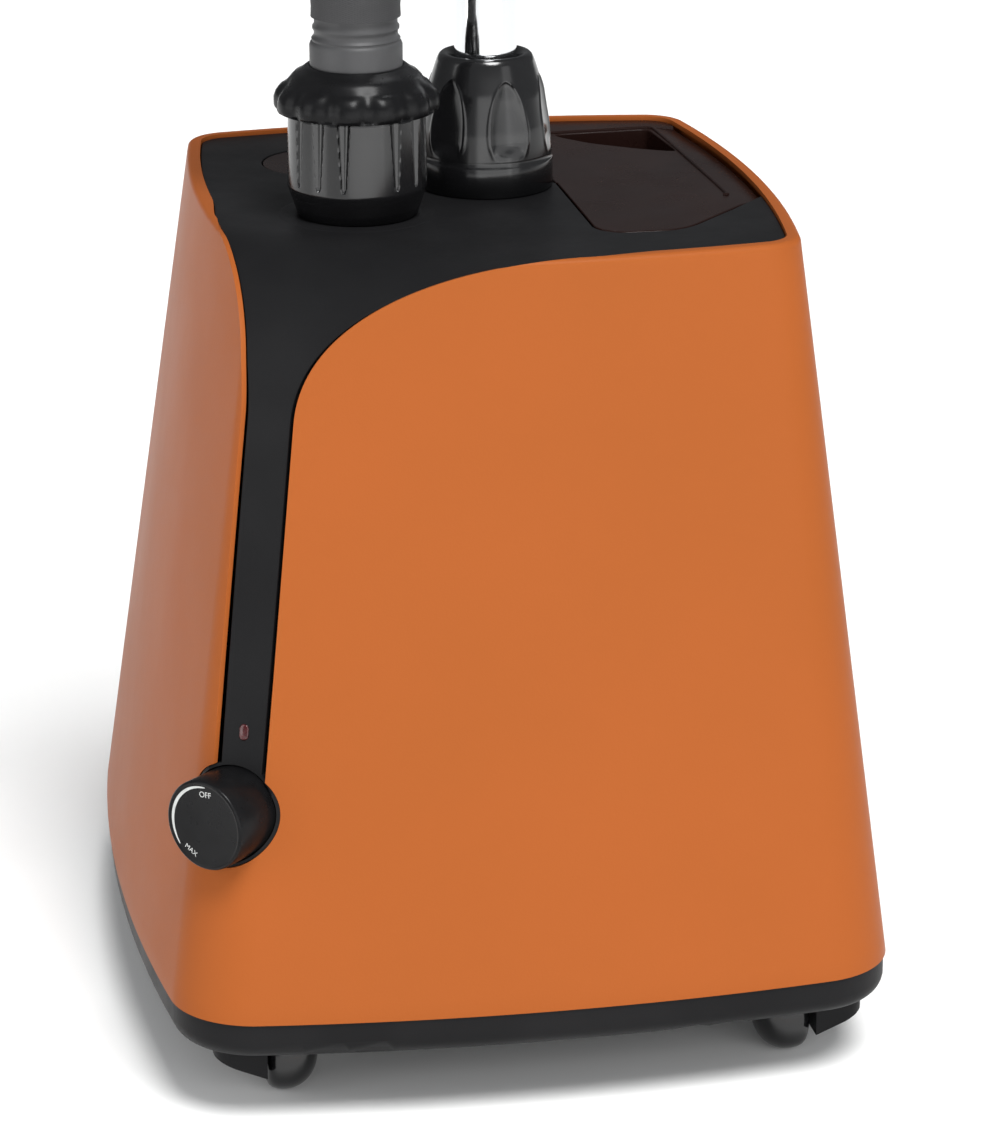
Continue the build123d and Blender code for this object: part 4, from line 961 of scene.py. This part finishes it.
def lamp():
    """The small domed lens above the dial."""
    box_low, box_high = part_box("indicator_lens")
    middle = (box_low + box_high) / 2
    points, rings, steps = [], 10, 48
    for i in range(rings + 1):
        k = math.sin(math.pi / 2 * i / rings)
        height = 0.45 * math.cos(math.pi / 2 * i / rings) + 0.05
        for a in np.linspace(0, 2 * math.pi, steps, endpoint=False):
            stretch = 1.2 if math.sin(a) > 0 else -1.2
            points.append((1.9 * k * math.cos(a), 1.9 * k * math.sin(a) + stretch * min(1.0, k * 3), height))
    for a in np.linspace(0, 2 * math.pi, steps, endpoint=False):
        points.append((1.9 * math.cos(a), 1.9 * math.sin(a) + (1.2 if math.sin(a) > 0 else -1.2), -2.0))
    faces = grid_faces(rings + 2, steps, True) + [tuple(range(steps))]
    obj = raw("lamp_lens", points, faces)
    lean = math.atan(RIBBON_DROP)
    out = Vector((WAY[0] * math.cos(lean), WAY[1] * math.cos(lean), math.sin(lean)))
    right = Vector((-WAY[1], WAY[0], 0))
    up = out.cross(right)
    turn = Matrix((right, up, out)).transposed().to_4x4()
    centre = Vector((middle.x, middle.y, LAMP_HEIGHT * MM))
    reach = (ribbon_reach(LAMP_HEIGHT) - RIBBON_DEPTH + 0.1) * MM
    across = centre.x * ACROSS[0] + centre.y * ACROSS[1]
    spot = Vector((WAY[0] * reach + ACROSS[0] * across, WAY[1] * reach + ACROSS[1] * across, LAMP_HEIGHT * MM))
    obj.data.transform(Matrix.Translation(spot) @ turn)
    settle(obj, "red_lens", "root", stands_for=["indicator_lens"], sharp=60)


dial()
lamp()


# ---------------------------------------------------------------- rollers
def rollers():
    for name in ("front_left", "front_right", "rear_left", "rear_right"):
        node = f"roller_{name}"
        low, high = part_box(node)
        side = -1 if "left" in name else 1
        face = (low.x if side < 0 else high.x) / MM
        y = (low.y + high.y) / 2 / MM
        profile = [(3.1, 1.0), (5.2, 0.6), (5.4, 0.0), (11.6, 0.0), (12.6, 0.25), (13.9, 0.9), (15.0, 2.1)]
        profile += [(15.75, 4.0), (16.0, 6.2), (16.0, 7.6)]
        for t in np.linspace(0.08, 1, 22):
            a = math.pi / 2 * t
            profile.append((16.0 * math.cos(a) ** 0.9 if t < 1 else 0.01, 7.6 + 13.2 * math.sin(a)))
        profile += [(0.01, 15.4), (3.1, 15.4)]
        obj = lathe(f"wheel_{name}", profile, steps=96)
        turn = Matrix(((0, 0, -side, 0), (0, 1, 0, 0), (1, 0, 0, 0), (0, 0, 0, 1)))
        obj.data.transform(Matrix.Translation((face * MM, y * MM, 16.0 * MM)) @ turn)
        work = bmesh.new()
        work.from_mesh(obj.data)
        bmesh.ops.recalc_face_normals(work, faces=work.faces)
        work.to_mesh(obj.data)
        work.free()
        settle(obj, "black_gloss", node, stands_for=[node], sharp=50)


rollers()


# ---------------------------------------------------------------- stage
def add_stage():
    mesh = bpy.data.meshes.new("floor")
    size = 40.0
    mesh.from_pydata([(-size, -size, 0), (size, -size, 0), (size, size, 0), (-size, size, 0)], [], [(0, 1, 2, 3)])
    floor = new_object("floor", mesh)
    mesh.materials.append(finish("floor_pale"))
    world = bpy.data.worlds.new("studio")
    bpy.context.scene.world = world
    world.use_nodes = True
    sky = world.node_tree.nodes["Background"]
    sky.inputs["Color"].default_value = (0.95, 0.97, 1.0, 1.0)
    nodes, links = world.node_tree.nodes, world.node_tree.links
    split = nodes.new("ShaderNodeSeparateXYZ")
    fade = nodes.new("ShaderNodeMapRange")
    for k, value in enumerate((-0.2, 0.6, 0.42, 0.17), 1):
        fade.inputs[k].default_value = value
    links.new(nodes.new("ShaderNodeTexCoord").outputs["Generated"], split.inputs[0])
    links.new(split.outputs[1], fade.inputs[0])
    links.new(fade.outputs[0], sky.inputs["Strength"])
    data = bpy.data.lights.new("ceiling", "SUN")
    data.energy, data.angle = 3.6, math.radians(25)
    ceiling = bpy.data.objects.new("ceiling", data)
    ceiling.rotation_mode = "QUATERNION"
    ceiling.rotation_quaternion = Vector((-0.12, 0.45, -0.88)).to_track_quat("-Z", "Y")
    bpy.context.scene.collection.objects.link(ceiling)
    add_light("left_panel", (-1.35, -0.4, 0.62), (0, 0, 0.2), (0.7, 1.2), 5.6)
    add_light("right_panel", (0.95, -1.15, 0.62), (0, 0, 0.25), (0.5, 1.2), 2.2)
    add_light("front_panel", (0.1, -1.3, 0.45), (0, 0, 0.3), (1.5, 0.8), 6.6)


add_stage()
bpy.context.scene.view_settings.view_transform = "Standard"
